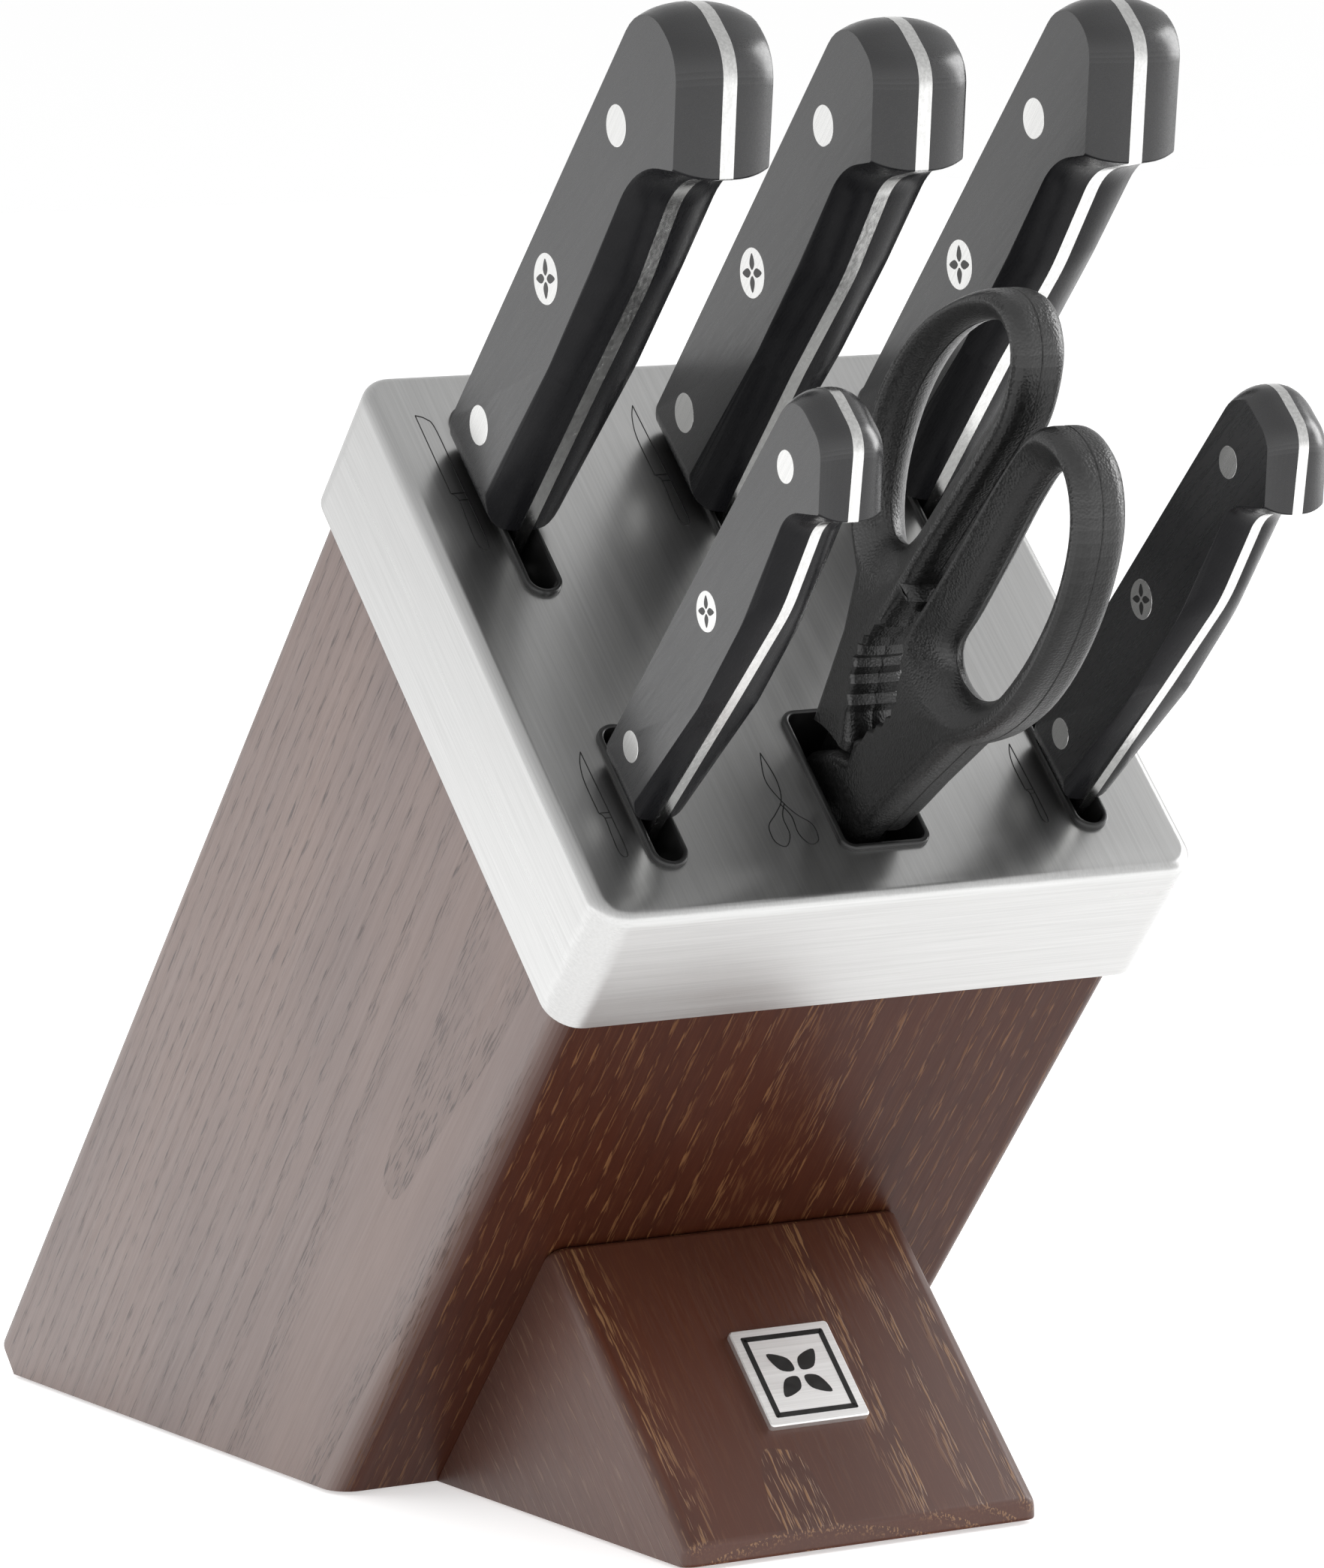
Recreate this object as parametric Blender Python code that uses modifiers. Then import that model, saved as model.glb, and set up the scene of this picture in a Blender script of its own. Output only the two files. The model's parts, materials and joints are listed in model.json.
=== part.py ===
"""Leaning knife block with a steel cap, five riveted knives and kitchen shears.

Frame: origin on the floor in the middle of the object's footprint, +Z up, X across the block,
-Y towards the user.  The block leans towards -Y.  Shapes on the block are drawn in its own leaning axes, in millimetres: x across,
v through the block from its front face, u up along it.  Blender 4.5.
"""
import bmesh
import bpy
from math import atan2, cos, radians, sin, tan
from mathutils import Matrix, Vector

MM = 0.001
GAP = 0.3
ARC_STEPS = 3
ROUND_SIDES = 12

# Block
LEAN = radians(45.4)
FLOOR_GAP = 0.8
ORIGIN_SHIFT = 13.892
WOOD_WIDTH = 126.0
WOOD_DEPTH = 136.0
WOOD_EDGE_RADIUS = 5.0
WOOD_END = -126.5
SIDE_PANEL = 9.0
END_PANEL = 6.5
BASE_THICKNESS = 8.0

# Steel cap; its top face is the plane u = TOP
TOP = 190.3
CAP_WIDTH = 133.0
CAP_DEPTH = 143.0
CAP_HEIGHT = 32.6
CAP_SHEET = 1.2
CAP_CORNER_RADIUS = 7.1
CAP_TOP_RADIUS = 2.6
CORE_DEPTH = 62.0

# Slots
SLOT_PITCH = 46.8
RIM_HALF_WIDTH = 4.07
RIM_HEIGHT = 1.2
TUBE_WALL_STEP = 0.5
RIM_LIP = 1.25
LINER_DEPTH = 30.0
SLOT_GRID = {
    # name: (x centre, v front end, v back end, rim half width, corner radius)
    "bread": (-SLOT_PITCH, 78.0, 128.8, RIM_HALF_WIDTH, RIM_HALF_WIDTH),
    "carving": (0.0, 78.0, 128.8, RIM_HALF_WIDTH, RIM_HALF_WIDTH),
    "chef": (SLOT_PITCH, 78.0, 128.8, RIM_HALF_WIDTH, RIM_HALF_WIDTH),
    "utility": (-SLOT_PITCH, 7.9, 44.0, RIM_HALF_WIDTH, RIM_HALF_WIDTH),
    "shears": (0.0, 8.1, 43.9, 10.0, 3.2),
    "paring": (SLOT_PITCH, 8.2, 44.0, RIM_HALF_WIDTH, RIM_HALF_WIDTH),
}

# Foot, badge and pads
FOOT_WIDTH = 80.0
FOOT_TOP = 81.0
FOOT_REACH = 111.7
FOOT_NOSE = 4.5
FOOT_ROUND = 3.0
BADGE_WIDTH = 22.5
BADGE_LENGTH = 24.0
BADGE_THICKNESS = 1.5
BADGE_CORNER = 1.0
BADGE_DOWN_SLOPE = 39.0
PAD_THICKNESS = 2.0
PAD_WIDTH = 12.0

# Knives
TANG_THICKNESS = 2.9
SMALL_TANG_THICKNESS = 2.2
EDGE_THICKNESS = 0.3
SPINE_THICKNESS = 2.4
BLADE_START = -9.0

# Shears
GRIP_HALF_THICKNESS = 5.7
GRIP_EDGE_ROUND = 1.3
PIVOT_V = 26.0
PIVOT_U = -13.0
PIVOT_RADIUS = 3.0
LAP_RADIUS = 21.3
SHEAR_BLADE_THICKNESS = 1.9


# ---------------------------------------------------------------- scene and materials
def clear_scene():
    for old in list(bpy.data.objects):
        bpy.data.objects.remove(old, do_unlink=True)


def new_collection(name):
    collection = bpy.data.collections.new(name)
    bpy.context.scene.collection.children.link(collection)
    return collection


def material(name, colour, roughness, metallic=0.0):
    made = bpy.data.materials.new(name)
    made.use_nodes = True
    shader = made.node_tree.nodes["Principled BSDF"]
    shader.inputs["Base Color"].default_value = (*colour, 1.0)
    shader.inputs["Roughness"].default_value = roughness
    shader.inputs["Metallic"].default_value = metallic
    return made


def empty(name, parent=None, location=(0.0, 0.0, 0.0), lean=0.0):
    """Empty at a place given in millimetres in its parent's axes."""
    made = bpy.data.objects.new(name, None)
    made.empty_display_size = 20 * MM
    made.parent = parent
    made.location = Vector(location) * MM
    made.rotation_euler = (lean, 0.0, 0.0)
    PARTS.objects.link(made)
    return made


# ---------------------------------------------------------------- outlines
def rounded(corners, steps=ARC_STEPS):
    """Closed outline through corners (a, b, radius); each radius becomes a tangent arc."""
    points = []
    for index, (a, b, radius) in enumerate(corners):
        here = Vector((a, b))
        if radius == 0:
            points.append(here)
            continue
        back = (Vector(corners[index - 1][:2]) - here).normalized()
        ahead = (Vector(corners[(index + 1) % len(corners)][:2]) - here).normalized()
        half = back.angle(ahead) / 2
        centre = here + (back + ahead).normalized() * (radius / sin(half))
        reach = radius / tan(half)
        start = here + back * reach - centre
        end = here + ahead * reach - centre
        turn = atan2(start.x * end.y - start.y * end.x, start.dot(end))
        for step in range(steps + 1):
            angle = turn * step / steps
            spun = Vector((start.x * cos(angle) - start.y * sin(angle),
                           start.x * sin(angle) + start.y * cos(angle)))
            points.append(centre + spun)
    return points


def smooth(points, steps=2, closed=True):
    """Catmull-Rom curve through the points."""
    spots = [Vector(point) for point in points]
    count = len(spots)
    spans = count if closed else count - 1
    result = []
    for index in range(spans):
        p1 = spots[index]
        p2 = spots[(index + 1) % count]
        p0 = spots[index - 1] if closed or index > 0 else p1
        p3 = spots[(index + 2) % count] if closed or index + 2 < count else p2
        for step in range(steps):
            t = step / steps
            result.append(0.5 * (2 * p1 + (p2 - p0) * t + (2 * p0 - 5 * p1 + 4 * p2 - p3) * t * t
                                 + (3 * p1 - p0 - 3 * p2 + p3) * t ** 3))
    if not closed:
        result.append(spots[-1])
    return result


def inset(outline, distance):
    """Outline moved inwards by a distance, mitred at its corners (outwards if negative)."""
    area = sum(outline[i - 1].x * p.y - p.x * outline[i - 1].y for i, p in enumerate(outline))
    side = 1 if area > 0 else -1
    moved = []
    for index, here in enumerate(outline):
        before = (here - outline[index - 1]).normalized()
        after = (outline[(index + 1) % len(outline)] - here).normalized()
        normal_a = Vector((-before.y, before.x)) * side
        normal_b = Vector((-after.y, after.x)) * side
        moved.append(here + (normal_a + normal_b) * (distance / (1 + normal_a.dot(normal_b))))
    return moved


def rectangle(half_a, half_b, radius, centre=(0.0, 0.0), steps=ARC_STEPS):
    """Rounded rectangle about a centre."""
    a, b = centre
    corners = [(a + half_a, b + half_b, radius), (a - half_a, b + half_b, radius),
               (a - half_a, b - half_b, radius), (a + half_a, b - half_b, radius)]
    return rounded(corners, steps)


def beside_front(u):
    """Upright (y, z) of the point a gap in front of the block's front face at height u."""
    return -u * sin(LEAN) - GAP * cos(LEAN), u * cos(LEAN) - GAP * sin(LEAN)


def at_x(outline, x):
    """Outline in (v, u) placed at one x."""
    return [(x, point.x, point.y) for point in outline]


def at_u(outline, u):
    """Outline in (x, v) placed at one u."""
    return [(point.x, point.y, u) for point in outline]


# ---------------------------------------------------------------- solids
def add_object(name, mesh, finish, parent, location=(0.0, 0.0, 0.0)):
    """Object from a bmesh drawn in metres about its own origin; with no finish it is a cutter."""
    bmesh.ops.recalc_face_normals(mesh, faces=mesh.faces)
    data = bpy.data.meshes.new(name)
    mesh.to_mesh(data)
    mesh.free()
    made = bpy.data.objects.new(name, data)
    made.parent = parent
    made.location = Vector(location) * MM
    if finish is None:
        made.hide_render = True
        made.display_type = "WIRE"
        CUTTERS.objects.link(made)
    else:
        data.materials.append(finish)
        data.shade_smooth()
        data.set_sharp_from_angle(angle=radians(35))
        PARTS.objects.link(made)
    return made


def loft(name, rings, finish, parent, loop=False):
    """Solid skinned over unlike rings of equally many points, in millimetres.

    The first and last ring are closed with a face, or joined to each other if loop is set.
    """
    mesh = bmesh.new()
    rows = [[mesh.verts.new(Vector(point) * MM) for point in ring] for ring in rings]
    pairs = list(zip(rows, rows[1:]))
    if loop:
        pairs.append((rows[-1], rows[0]))
    else:
        mesh.faces.new(rows[0])
        mesh.faces.new(rows[-1])
    for low, high in pairs:
        for index in range(len(low)):
            mesh.faces.new((low[index - 1], low[index], high[index], high[index - 1]))
    return add_object(name, mesh, finish, parent)


def prism(name, ring, reach, finish, parent):
    """Flat outline extruded along a vector, both in millimetres."""
    mesh = bmesh.new()
    face = mesh.faces.new([mesh.verts.new(Vector(point) * MM) for point in ring])
    grown = bmesh.ops.extrude_face_region(mesh, geom=[face], use_keep_orig=True)["geom"]
    moved = [item for item in grown if isinstance(item, bmesh.types.BMVert)]
    bmesh.ops.translate(mesh, vec=Vector(reach) * MM, verts=moved)
    return add_object(name, mesh, finish, parent)


def box(name, low, high, finish, parent):
    """Box between two corners in millimetres, with its origin in its middle."""
    mesh = bmesh.new()
    bmesh.ops.create_cube(mesh, size=1.0)
    bmesh.ops.scale(mesh, vec=(Vector(high) - Vector(low)) * MM, verts=mesh.verts)
    return add_object(name, mesh, finish, parent, (Vector(high) + Vector(low)) / 2)


def rod(name, centre, radius, half_length, finish, parent, sides=ROUND_SIDES):
    """Round bar along X about a centre, in millimetres."""
    mesh = bmesh.new()
    across = Matrix.Rotation(radians(90), 4, "Y") @ Matrix.Rotation(radians(180) / sides, 4, "Z")
    bmesh.ops.create_cone(mesh, cap_ends=True, segments=sides, radius1=radius * MM,
                          radius2=radius * MM, depth=2 * half_length * MM, matrix=across)
    return add_object(name, mesh, finish, parent, centre)


def turned(name, profile, finish, parent):
    """Profile of (radius, height) in millimetres, top to bottom, spun about the X axis."""
    mesh = bmesh.new()
    spots = [mesh.verts.new((radius * MM, 0, height * MM)) for radius, height in profile]
    for low, high in zip(spots, spots[1:]):
        mesh.edges.new((low, high))
    made = add_object(name, mesh, finish, parent)
    made.rotation_euler = (0, radians(90), 0)
    screw = made.modifiers.new("turn", "SCREW")
    screw.axis = "Z"
    screw.steps = 2 * ROUND_SIDES
    screw.render_steps = 2 * ROUND_SIDES
    screw.use_merge_vertices = True
    screw.merge_threshold = 0.00005
    return made


def combine(target, tool, operation="DIFFERENCE"):
    modifier = target.modifiers.new(f"{operation.lower()} {tool.name}", "BOOLEAN")
    modifier.operation = operation
    modifier.solver = "EXACT"
    modifier.object = tool


# ---------------------------------------------------------------- block
def floor_cutter():
    """Everything below the wooden parts' undersides, in upright axes."""
    return box("cut_floor", (-200, -300, -400), (200, 400, 0), None, UPRIGHT)


def wooden_body(ash, core_wood, cut_floor):
    half = WOOD_WIDTH / 2
    inner = half - SIDE_PANEL
    high = TOP - CAP_SHEET - GAP
    for name, side in (("left_panel", -1), ("right_panel", 1)):
        corners = [(side * inner, 0, 0), (side * inner, WOOD_DEPTH, 0),
                   (side * half, WOOD_DEPTH, WOOD_EDGE_RADIUS), (side * half, 0, WOOD_EDGE_RADIUS)]
        outline = rounded(corners)
        panel = prism(name, at_u(outline, WOOD_END), (0, 0, high - WOOD_END), ash, LEANING)
        combine(panel, cut_floor)
    reach = inner - GAP
    front = box("front_panel", (-reach, 0, WOOD_END), (reach, END_PANEL, high), ash, LEANING)
    back = box("back_panel", (-reach, WOOD_DEPTH - END_PANEL, WOOD_END),
               (reach, WOOD_DEPTH, high), ash, LEANING)
    combine(front, cut_floor)
    combine(back, cut_floor)
    inside = END_PANEL + GAP
    base = box("base_board", (-reach, inside, WOOD_END), (reach, WOOD_DEPTH - inside, TOP / 2),
               core_wood, LEANING)
    slab = box("keep_base", (-200, -50, 0), (200, 400, BASE_THICKNESS), None, UPRIGHT)
    combine(base, slab, "INTERSECT")
    core = box("slot_core", (-reach, inside, TOP - CORE_DEPTH),
               (reach, WOOD_DEPTH - inside, high), core_wood, LEANING)
    return base, core


def cap(steel):
    """Hood of sheet steel: outer skin down, inner skin back up, open underneath."""
    centre = (0.0, WOOD_DEPTH / 2)

    def ring(inward, radius, u):
        outline = rectangle(CAP_WIDTH / 2 - inward, CAP_DEPTH / 2 - inward, radius, centre, 4)
        return at_u(outline, u)

    rings = []
    for turn in (90, 60, 30, 0):
        inward = CAP_TOP_RADIUS * (1 - cos(radians(turn)))
        drop = CAP_TOP_RADIUS * (1 - sin(radians(turn)))
        rings.append(ring(inward, CAP_CORNER_RADIUS - inward, TOP - drop))
    rings.append(ring(0, CAP_CORNER_RADIUS, TOP - CAP_HEIGHT))
    rings.append(ring(CAP_SHEET, CAP_CORNER_RADIUS - CAP_SHEET, TOP - CAP_HEIGHT))
    inner_round = CAP_TOP_RADIUS - CAP_SHEET
    for turn in (0, 45, 90):
        inward = CAP_SHEET + inner_round * (1 - cos(radians(turn)))
        drop = CAP_SHEET + inner_round * (1 - sin(radians(turn)))
        rings.append(ring(inward, CAP_CORNER_RADIUS - inward, TOP - drop))
    return loft("steel_cap", rings, steel, LEANING)


def cap_frame(plastic):
    """Ring that centres the hood on the narrower wood."""
    centre = (0.0, WOOD_DEPTH / 2)
    outer = rectangle(CAP_WIDTH / 2 - CAP_SHEET - GAP, CAP_DEPTH / 2 - CAP_SHEET - GAP,
                      CAP_CORNER_RADIUS - CAP_SHEET - GAP, centre)
    inner = rectangle(WOOD_WIDTH / 2 + GAP, WOOD_DEPTH / 2 + GAP, WOOD_EDGE_RADIUS, centre)
    low = TOP - CAP_HEIGHT + 1.5
    high = TOP - CAP_TOP_RADIUS - 1.5
    rings = [at_u(outer, low), at_u(outer, high), at_u(inner, high), at_u(inner, low)]
    return loft("cap_frame", rings, plastic, LEANING, loop=True)


def slot_liner(name, plastic):
    """Tube through the cap with a raised rim lying on it."""
    x, front, back, half, radius = SLOT_GRID[name]
    centre = (x, (front + back) / 2)
    length = (back - front) / 2

    def ring(inward, u):
        return at_u(rectangle(half - inward, length - inward, radius - inward - 0.01, centre), u)

    step = TUBE_WALL_STEP
    high = TOP + RIM_HEIGHT
    rings = [ring(step, TOP - LINER_DEPTH), ring(step, TOP + GAP), ring(0, TOP + GAP),
             ring(0, high - 0.4), ring(0.35, high), ring(RIM_LIP - 0.3, high),
             ring(RIM_LIP, high - 0.3), ring(RIM_LIP, TOP - LINER_DEPTH)]
    return loft(f"{name}_slot_liner", rings, plastic, LEANING, loop=True)


def slot_cutter(name):
    x, front, back, half, radius = SLOT_GRID[name]
    margin = TUBE_WALL_STEP - GAP
    outline = rectangle(half - margin, (back - front) / 2 - margin, radius - margin - 0.01,
                        (x, (front + back) / 2))
    low = at_u(outline, TOP - CORE_DEPTH - 5)
    return prism(f"cut_{name}_slot", low, (0, 0, CORE_DEPTH + 10), None, LEANING)


def sharpening_stone(name, edge_v, ceramic, core):
    """Ceramic block with a V notch that the blade's edge runs through, let into the core."""
    x = SLOT_GRID[name][0]
    high = TOP - LINER_DEPTH - GAP
    low = high - 12
    front = edge_v - 3.6
    back = edge_v + 12
    half = 6.0
    stone = box(f"{name}_sharpening_stone", (x - half, front, low), (x + half, back, high),
                ceramic, LEANING)
    apex = edge_v - 0.8
    mouth = back + 5
    spread = 0.45 + (mouth - apex) * tan(radians(13))
    outline = [Vector((x - 0.45, apex)), Vector((x + 0.45, apex)),
               Vector((x + spread, mouth)), Vector((x - spread, mouth))]
    notch = prism(f"cut_{name}_notch", at_u(outline, low - 5), (0, 0, high - low + 10), None, LEANING)
    combine(stone, notch)
    pocket = box(f"cut_{name}_pocket", (x - half - GAP, front - GAP, TOP - CORE_DEPTH - 5),
                 (x + half + GAP, back + GAP, high + GAP), None, LEANING)
    combine(core, pocket)


def foot_outline(inward):
    """Upright (y, z) outline of the wedge, with its slope and nose moved inwards by a distance."""
    crest_y, crest_z = beside_front(FOOT_TOP - inward)
    nose = (-FOOT_REACH + 0.8 * inward, FOOT_NOSE - 0.6 * inward)
    return rounded([(crest_y, crest_z, 1.2), (*nose, 2.0), (nose[0], 0, 0.8), (-GAP / cos(LEAN), 0, 0)])


def foot(ash):
    """Wedge in front that props the leaning block, its slope rounded down at both sides."""
    half = FOOT_WIDTH / 2
    rings = []
    for turn in (0, 45, 90):
        inward = FOOT_ROUND * (1 - sin(radians(turn)))
        rings.append(at_x(foot_outline(inward), half - FOOT_ROUND * (1 - cos(radians(turn)))))
    rings += [[(-x, y, z) for x, y, z in ring] for ring in reversed(rings)]
    return loft("foot_wedge", rings, ash, UPRIGHT)


def badge(steel):
    """Plate on the foot's slope, built about its own centre and tilted to the slope."""
    crest = Vector((0, *beside_front(FOOT_TOP)))
    down = (Vector((0, -FOOT_REACH, FOOT_NOSE)) - crest).normalized()
    out = Vector((0, down.z, -down.y))
    tilt = atan2(-down.z, -down.y)
    seat = empty("badge_seat", UPRIGHT, crest + down * BADGE_DOWN_SLOPE + out * GAP, tilt)
    edge = rectangle(BADGE_WIDTH / 2, BADGE_LENGTH / 2, BADGE_CORNER)
    rings = [at_u(edge, 0), at_u(edge, BADGE_THICKNESS - 0.3), at_u(inset(edge, 0.3), BADGE_THICKNESS)]
    return loft("badge", rings, steel, seat)


def pads(rubber, base, wedge):
    """Non-slip strips in shallow pockets under the back of the base and the foot's front."""
    for name, host, half, y in (("back_pad", base, 42.0, 160.0), ("front_pad", wedge, 30.0, -98.0)):
        low = -FLOOR_GAP
        strip = (half, PAD_WIDTH / 2)
        box(name, (-strip[0], y - strip[1], low), (strip[0], y + strip[1], low + PAD_THICKNESS),
            rubber, UPRIGHT)
        wide = (half + GAP, PAD_WIDTH / 2 + GAP)
        pocket = box(f"cut_{name}", (-wide[0], y - wide[1], low - 5),
                     (wide[0], y + wide[1], low + PAD_THICKNESS + GAP), None, UPRIGHT)
        combine(host, pocket)


# ---------------------------------------------------------------- knives
# Handle corners are (v, u, radius), u from the cap's top face: lower front, front bend, palm
# swell, hook's underside, hook tip, butt, upper back, lower back.
LARGE_FLAT = [(97.9, 8.5, 1.0), (94.3, 48.0, 60.0), (93.8, 75.0, 60.0), (93.75, 102.9, 20.0),
              (81.9, 112.7, 0.8), (94.4, 129.9, 11.0), (112.4, 129.9, 11.2), (118.5, 8.5, 1.0)]
LARGE_MID = [(93.5, 1.5, 1.0), (91.5, 44.0, 60.0), (89.8, 75.0, 60.0), (91.6, 101.2, 17.0),
             (79.2, 112.7, 0.6), (93.1, 131.6, 11.0), (114.4, 131.6, 12.0), (120.6, 1.5, 1.0)]
MIDDLE_FLAT = [(100.5, 7.2, 1.0), (96.6, 46.0, 60.0), (95.8, 72.0, 60.0), (96.0, 98.0, 16.0),
              (88.0, 107.0, 0.8), (101.1, 124.9, 8.5), (115.0, 124.9, 9.0), (119.8, 7.2, 1.0)]
MIDDLE_MID = [(95.0, 1.5, 1.0), (94.0, 43.0, 60.0), (92.2, 72.0, 60.0), (93.8, 97.0, 13.0),
             (85.3, 107.1, 0.6), (99.6, 126.5, 9.0), (117.0, 126.5, 9.5), (122.0, 1.5, 1.0)]
SHORT_FLAT = [(100.5, 7.2, 1.0), (96.6, 46.0, 60.0), (95.8, 72.0, 60.0), (96.0, 98.0, 16.0),
              (88.4, 106.7, 0.8), (99.4, 121.2, 8.5), (115.2, 121.2, 9.5), (119.8, 7.2, 1.0)]
SHORT_MID = [(95.0, 1.5, 1.0), (94.0, 43.0, 60.0), (92.2, 72.0, 60.0), (93.8, 97.0, 13.0),
             (85.8, 106.5, 0.6), (97.8, 122.8, 9.0), (117.2, 122.8, 10.5), (122.0, 1.5, 1.0)]
SMALL_FLAT = [(19.9, 5.8, 0.8), (14.2, 40.0, 40.0), (13.0, 64.0, 50.0), (15.0, 92.3, 9.0),
              (6.3, 100.7, 0.7), (14.2, 111.2, 6.5), (28.3, 111.2, 7.0), (35.1, 5.8, 0.8)]
SMALL_MID = [(18.4, 1.5, 0.8), (13.2, 43.0, 40.0), (10.6, 70.0, 45.0), (12.8, 91.9, 8.0),
             (4.5, 100.4, 0.5), (13.0, 113.9, 7.0), (29.9, 113.9, 8.0), (36.6, 1.5, 0.8)]

# Half thickness at the lower end and its growth per millimetre up the handle
LARGE_HALF = (9.2, 0.008)
SMALL_HALF = (6.0, 0.0045)

# How far a ring has gone from the middle outline to the flat one: thickness, sides, lower end
CROWN = [(0.0, 0.0, 0.0), (0.5, 0.25, 0.03), (0.8, 0.64, 0.3), (1.0, 1.0, 1.0)]


def shifted(corners, dv, du):
    """Handle corners moved, with the lower end kept at its height above the slot."""
    lower = min(u for _, u, _ in corners)
    return [(v + dv, u if u == lower else u + du, radius) for v, u, radius in corners]


def handle_ring(mid, flat, level):
    depth, sides, lower = level
    last = len(mid) - 1
    blend = []
    for index, (start, end) in enumerate(zip(mid, flat)):
        share_u = lower if index in (0, last) else sides
        v = start[0] + (end[0] - start[0]) * sides
        u = start[1] + (end[1] - start[1]) * share_u
        blend.append((v, u, start[2] + (end[2] - start[2]) * sides))
    return depth, rounded(blend)


def knife(name, mid, flat, rivets, half, tang, blade, steel, black, rivet_steel):
    """Full-tang knife standing in its slot; the empty lies on its sliding axis."""
    x = SLOT_GRID[name][0]
    seat = empty(f"{name}_knife", LEANING, (x, 0, TOP))
    base_half, growth = half
    pins = []
    for index, (v, u, radius) in enumerate(rivets, 1):
        reach = base_half + growth * u
        rod(f"{name}_rivet_{index}", (0, v, u), radius, reach, rivet_steel, seat)
        pins.append(rod(f"cut_{name}_rivet_{index}", (0, v, u), radius + GAP, 20, None, seat))
    for side_name, side in (("left", -1), ("right", 1)):
        rings = []
        inner = tang / 2 + GAP
        for level in CROWN:
            depth, outline = handle_ring(mid, flat, level)
            ring = []
            for point in outline:
                outer = base_half + growth * point.y
                ring.append((side * (inner + (outer - inner) * depth), point.x, point.y))
            rings.append(ring)
        scale = loft(f"{name}_scale_{side_name}", rings, black, seat)
        for pin in pins:
            combine(scale, pin)
    plate = knife_plate(name, mid, tang, blade, steel, seat)
    for pin in pins:
        combine(plate, pin)


def knife_plate(name, mid, tang, blade, steel, seat):
    """Tang and blade in one plate, with the blade's cheeks ground from spine to edge."""
    edge_v, length, edge_points = blade
    spine_v = mid[-1][0]
    heel = (mid[0][0] + 0.3, BLADE_START + 1.0, 0)
    outline = rounded([heel] + mid[1:-1] + [(spine_v, BLADE_START / 2, 0)])
    outline += edge_points(edge_v, spine_v, length)
    plate = prism(f"{name}_blade", at_x(outline, -tang / 2), (tang, 0, 0), steel, seat)
    for side_name, side in (("left", -1), ("right", 1)):
        near_edge = EDGE_THICKNESS / 2
        near_spine = SPINE_THICKNESS / 2
        slope = (near_spine - near_edge) / (spine_v - edge_v)
        corners = [(near_edge - 4 * slope, edge_v - 4), (near_spine + 6 * slope, spine_v + 6),
                   (8, spine_v + 6), (8, edge_v - 4)]
        section = [Vector((side * a, b)) for a, b in corners]
        below = at_u(section, -length - 30)
        reach = (0, 0, BLADE_START + length + 30)
        combine(plate, prism(f"cut_{name}_cheek_{side_name}", below, reach, None, seat))
    return plate


def chef_edge(edge_v, spine_v, length):
    """Spine to tip to heel: deep heel and a belly that sweeps up to the point."""
    depth = spine_v - edge_v
    tip = (spine_v - 0.24 * depth, -length)
    sweep = smooth([tip, (edge_v + 0.33 * depth, -length * 0.85), (edge_v + 0.1 * depth, -length * 0.6),
                    (edge_v + 0.02 * depth, -length * 0.3), (edge_v, BLADE_START - 2.5)], 3, closed=False)
    return [Vector((spine_v - 0.04 * depth, -length * 0.55))] + sweep


def slicer_edge(edge_v, spine_v, length):
    """Long slender blade with a straight edge that rises to a point near the spine."""
    depth = spine_v - edge_v
    tip = (spine_v - 0.16 * depth, -length)
    sweep = smooth([tip, (edge_v + 0.3 * depth, -length * 0.9), (edge_v + 0.07 * depth, -length * 0.74),
                    (edge_v + 0.02 * depth, -length * 0.4), (edge_v, BLADE_START - 2.5)], 3, closed=False)
    return [Vector((spine_v - 0.03 * depth, -length * 0.6))] + sweep


def serrated_edge(edge_v, spine_v, length):
    """Even blade with scallops along its edge and a blunt rounded end."""
    points = [Vector((spine_v - 1, -length + 14))]
    points += smooth([(spine_v - 7, -length + 2), (edge_v + 14, -length), (edge_v + 5, -length + 8)],
                     2, closed=False)
    pitch = 9.0
    count = int((length - 26) / pitch)
    for index in range(count):
        u = -length + 13 + index * pitch
        points += [Vector((edge_v, u)), Vector((edge_v + 1.1, u + pitch / 2))]
    points.append(Vector((edge_v, BLADE_START - 2.5)))
    return points


# ---------------------------------------------------------------- shears
FRONT_LOOP = [(26.6, 45.5), (25.4, 54.0), (24.1, 70.6), (22.6, 91.8), (20.0, 105.5), (14.0, 111.2),
              (4.1, 111.5), (-4.6, 104.5), (-9.8, 92.0), (-11.8, 77.1), (-10.6, 62.5), (-6.2, 49.6),
              (0.6, 38.8)]
FRONT_HOLE = [(22.6, 46.5), (21.6, 56.0), (20.4, 74.0), (19.8, 91.0), (17.9, 103.0), (10.0, 108.2),
              (2.4, 106.4), (-3.6, 99.4), (-7.3, 87.0), (-7.6, 71.0), (-4.6, 56.0), (2.0, 44.6),
              (11.0, 40.2), (19.6, 41.0)]
BACK_LOOP = [(47.5, 37.6), (55.5, 43.5), (61.5, 55.0), (65.0, 72.0), (63.6, 86.5), (58.4, 99.6),
             (49.6, 112.5), (40.5, 117.1), (31.6, 112.8), (26.6, 101.0), (27.0, 88.0), (29.0, 69.2),
             (30.4, 55.0)]
BACK_HOLE = [(37.8, 45.8), (46.5, 42.5), (54.0, 47.5), (59.5, 58.5), (61.8, 74.0), (59.6, 89.5),
             (53.5, 102.6), (44.5, 112.0), (35.6, 112.0), (30.4, 103.0), (31.0, 90.0), (33.2, 71.0),
             (34.6, 54.0)]


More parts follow.
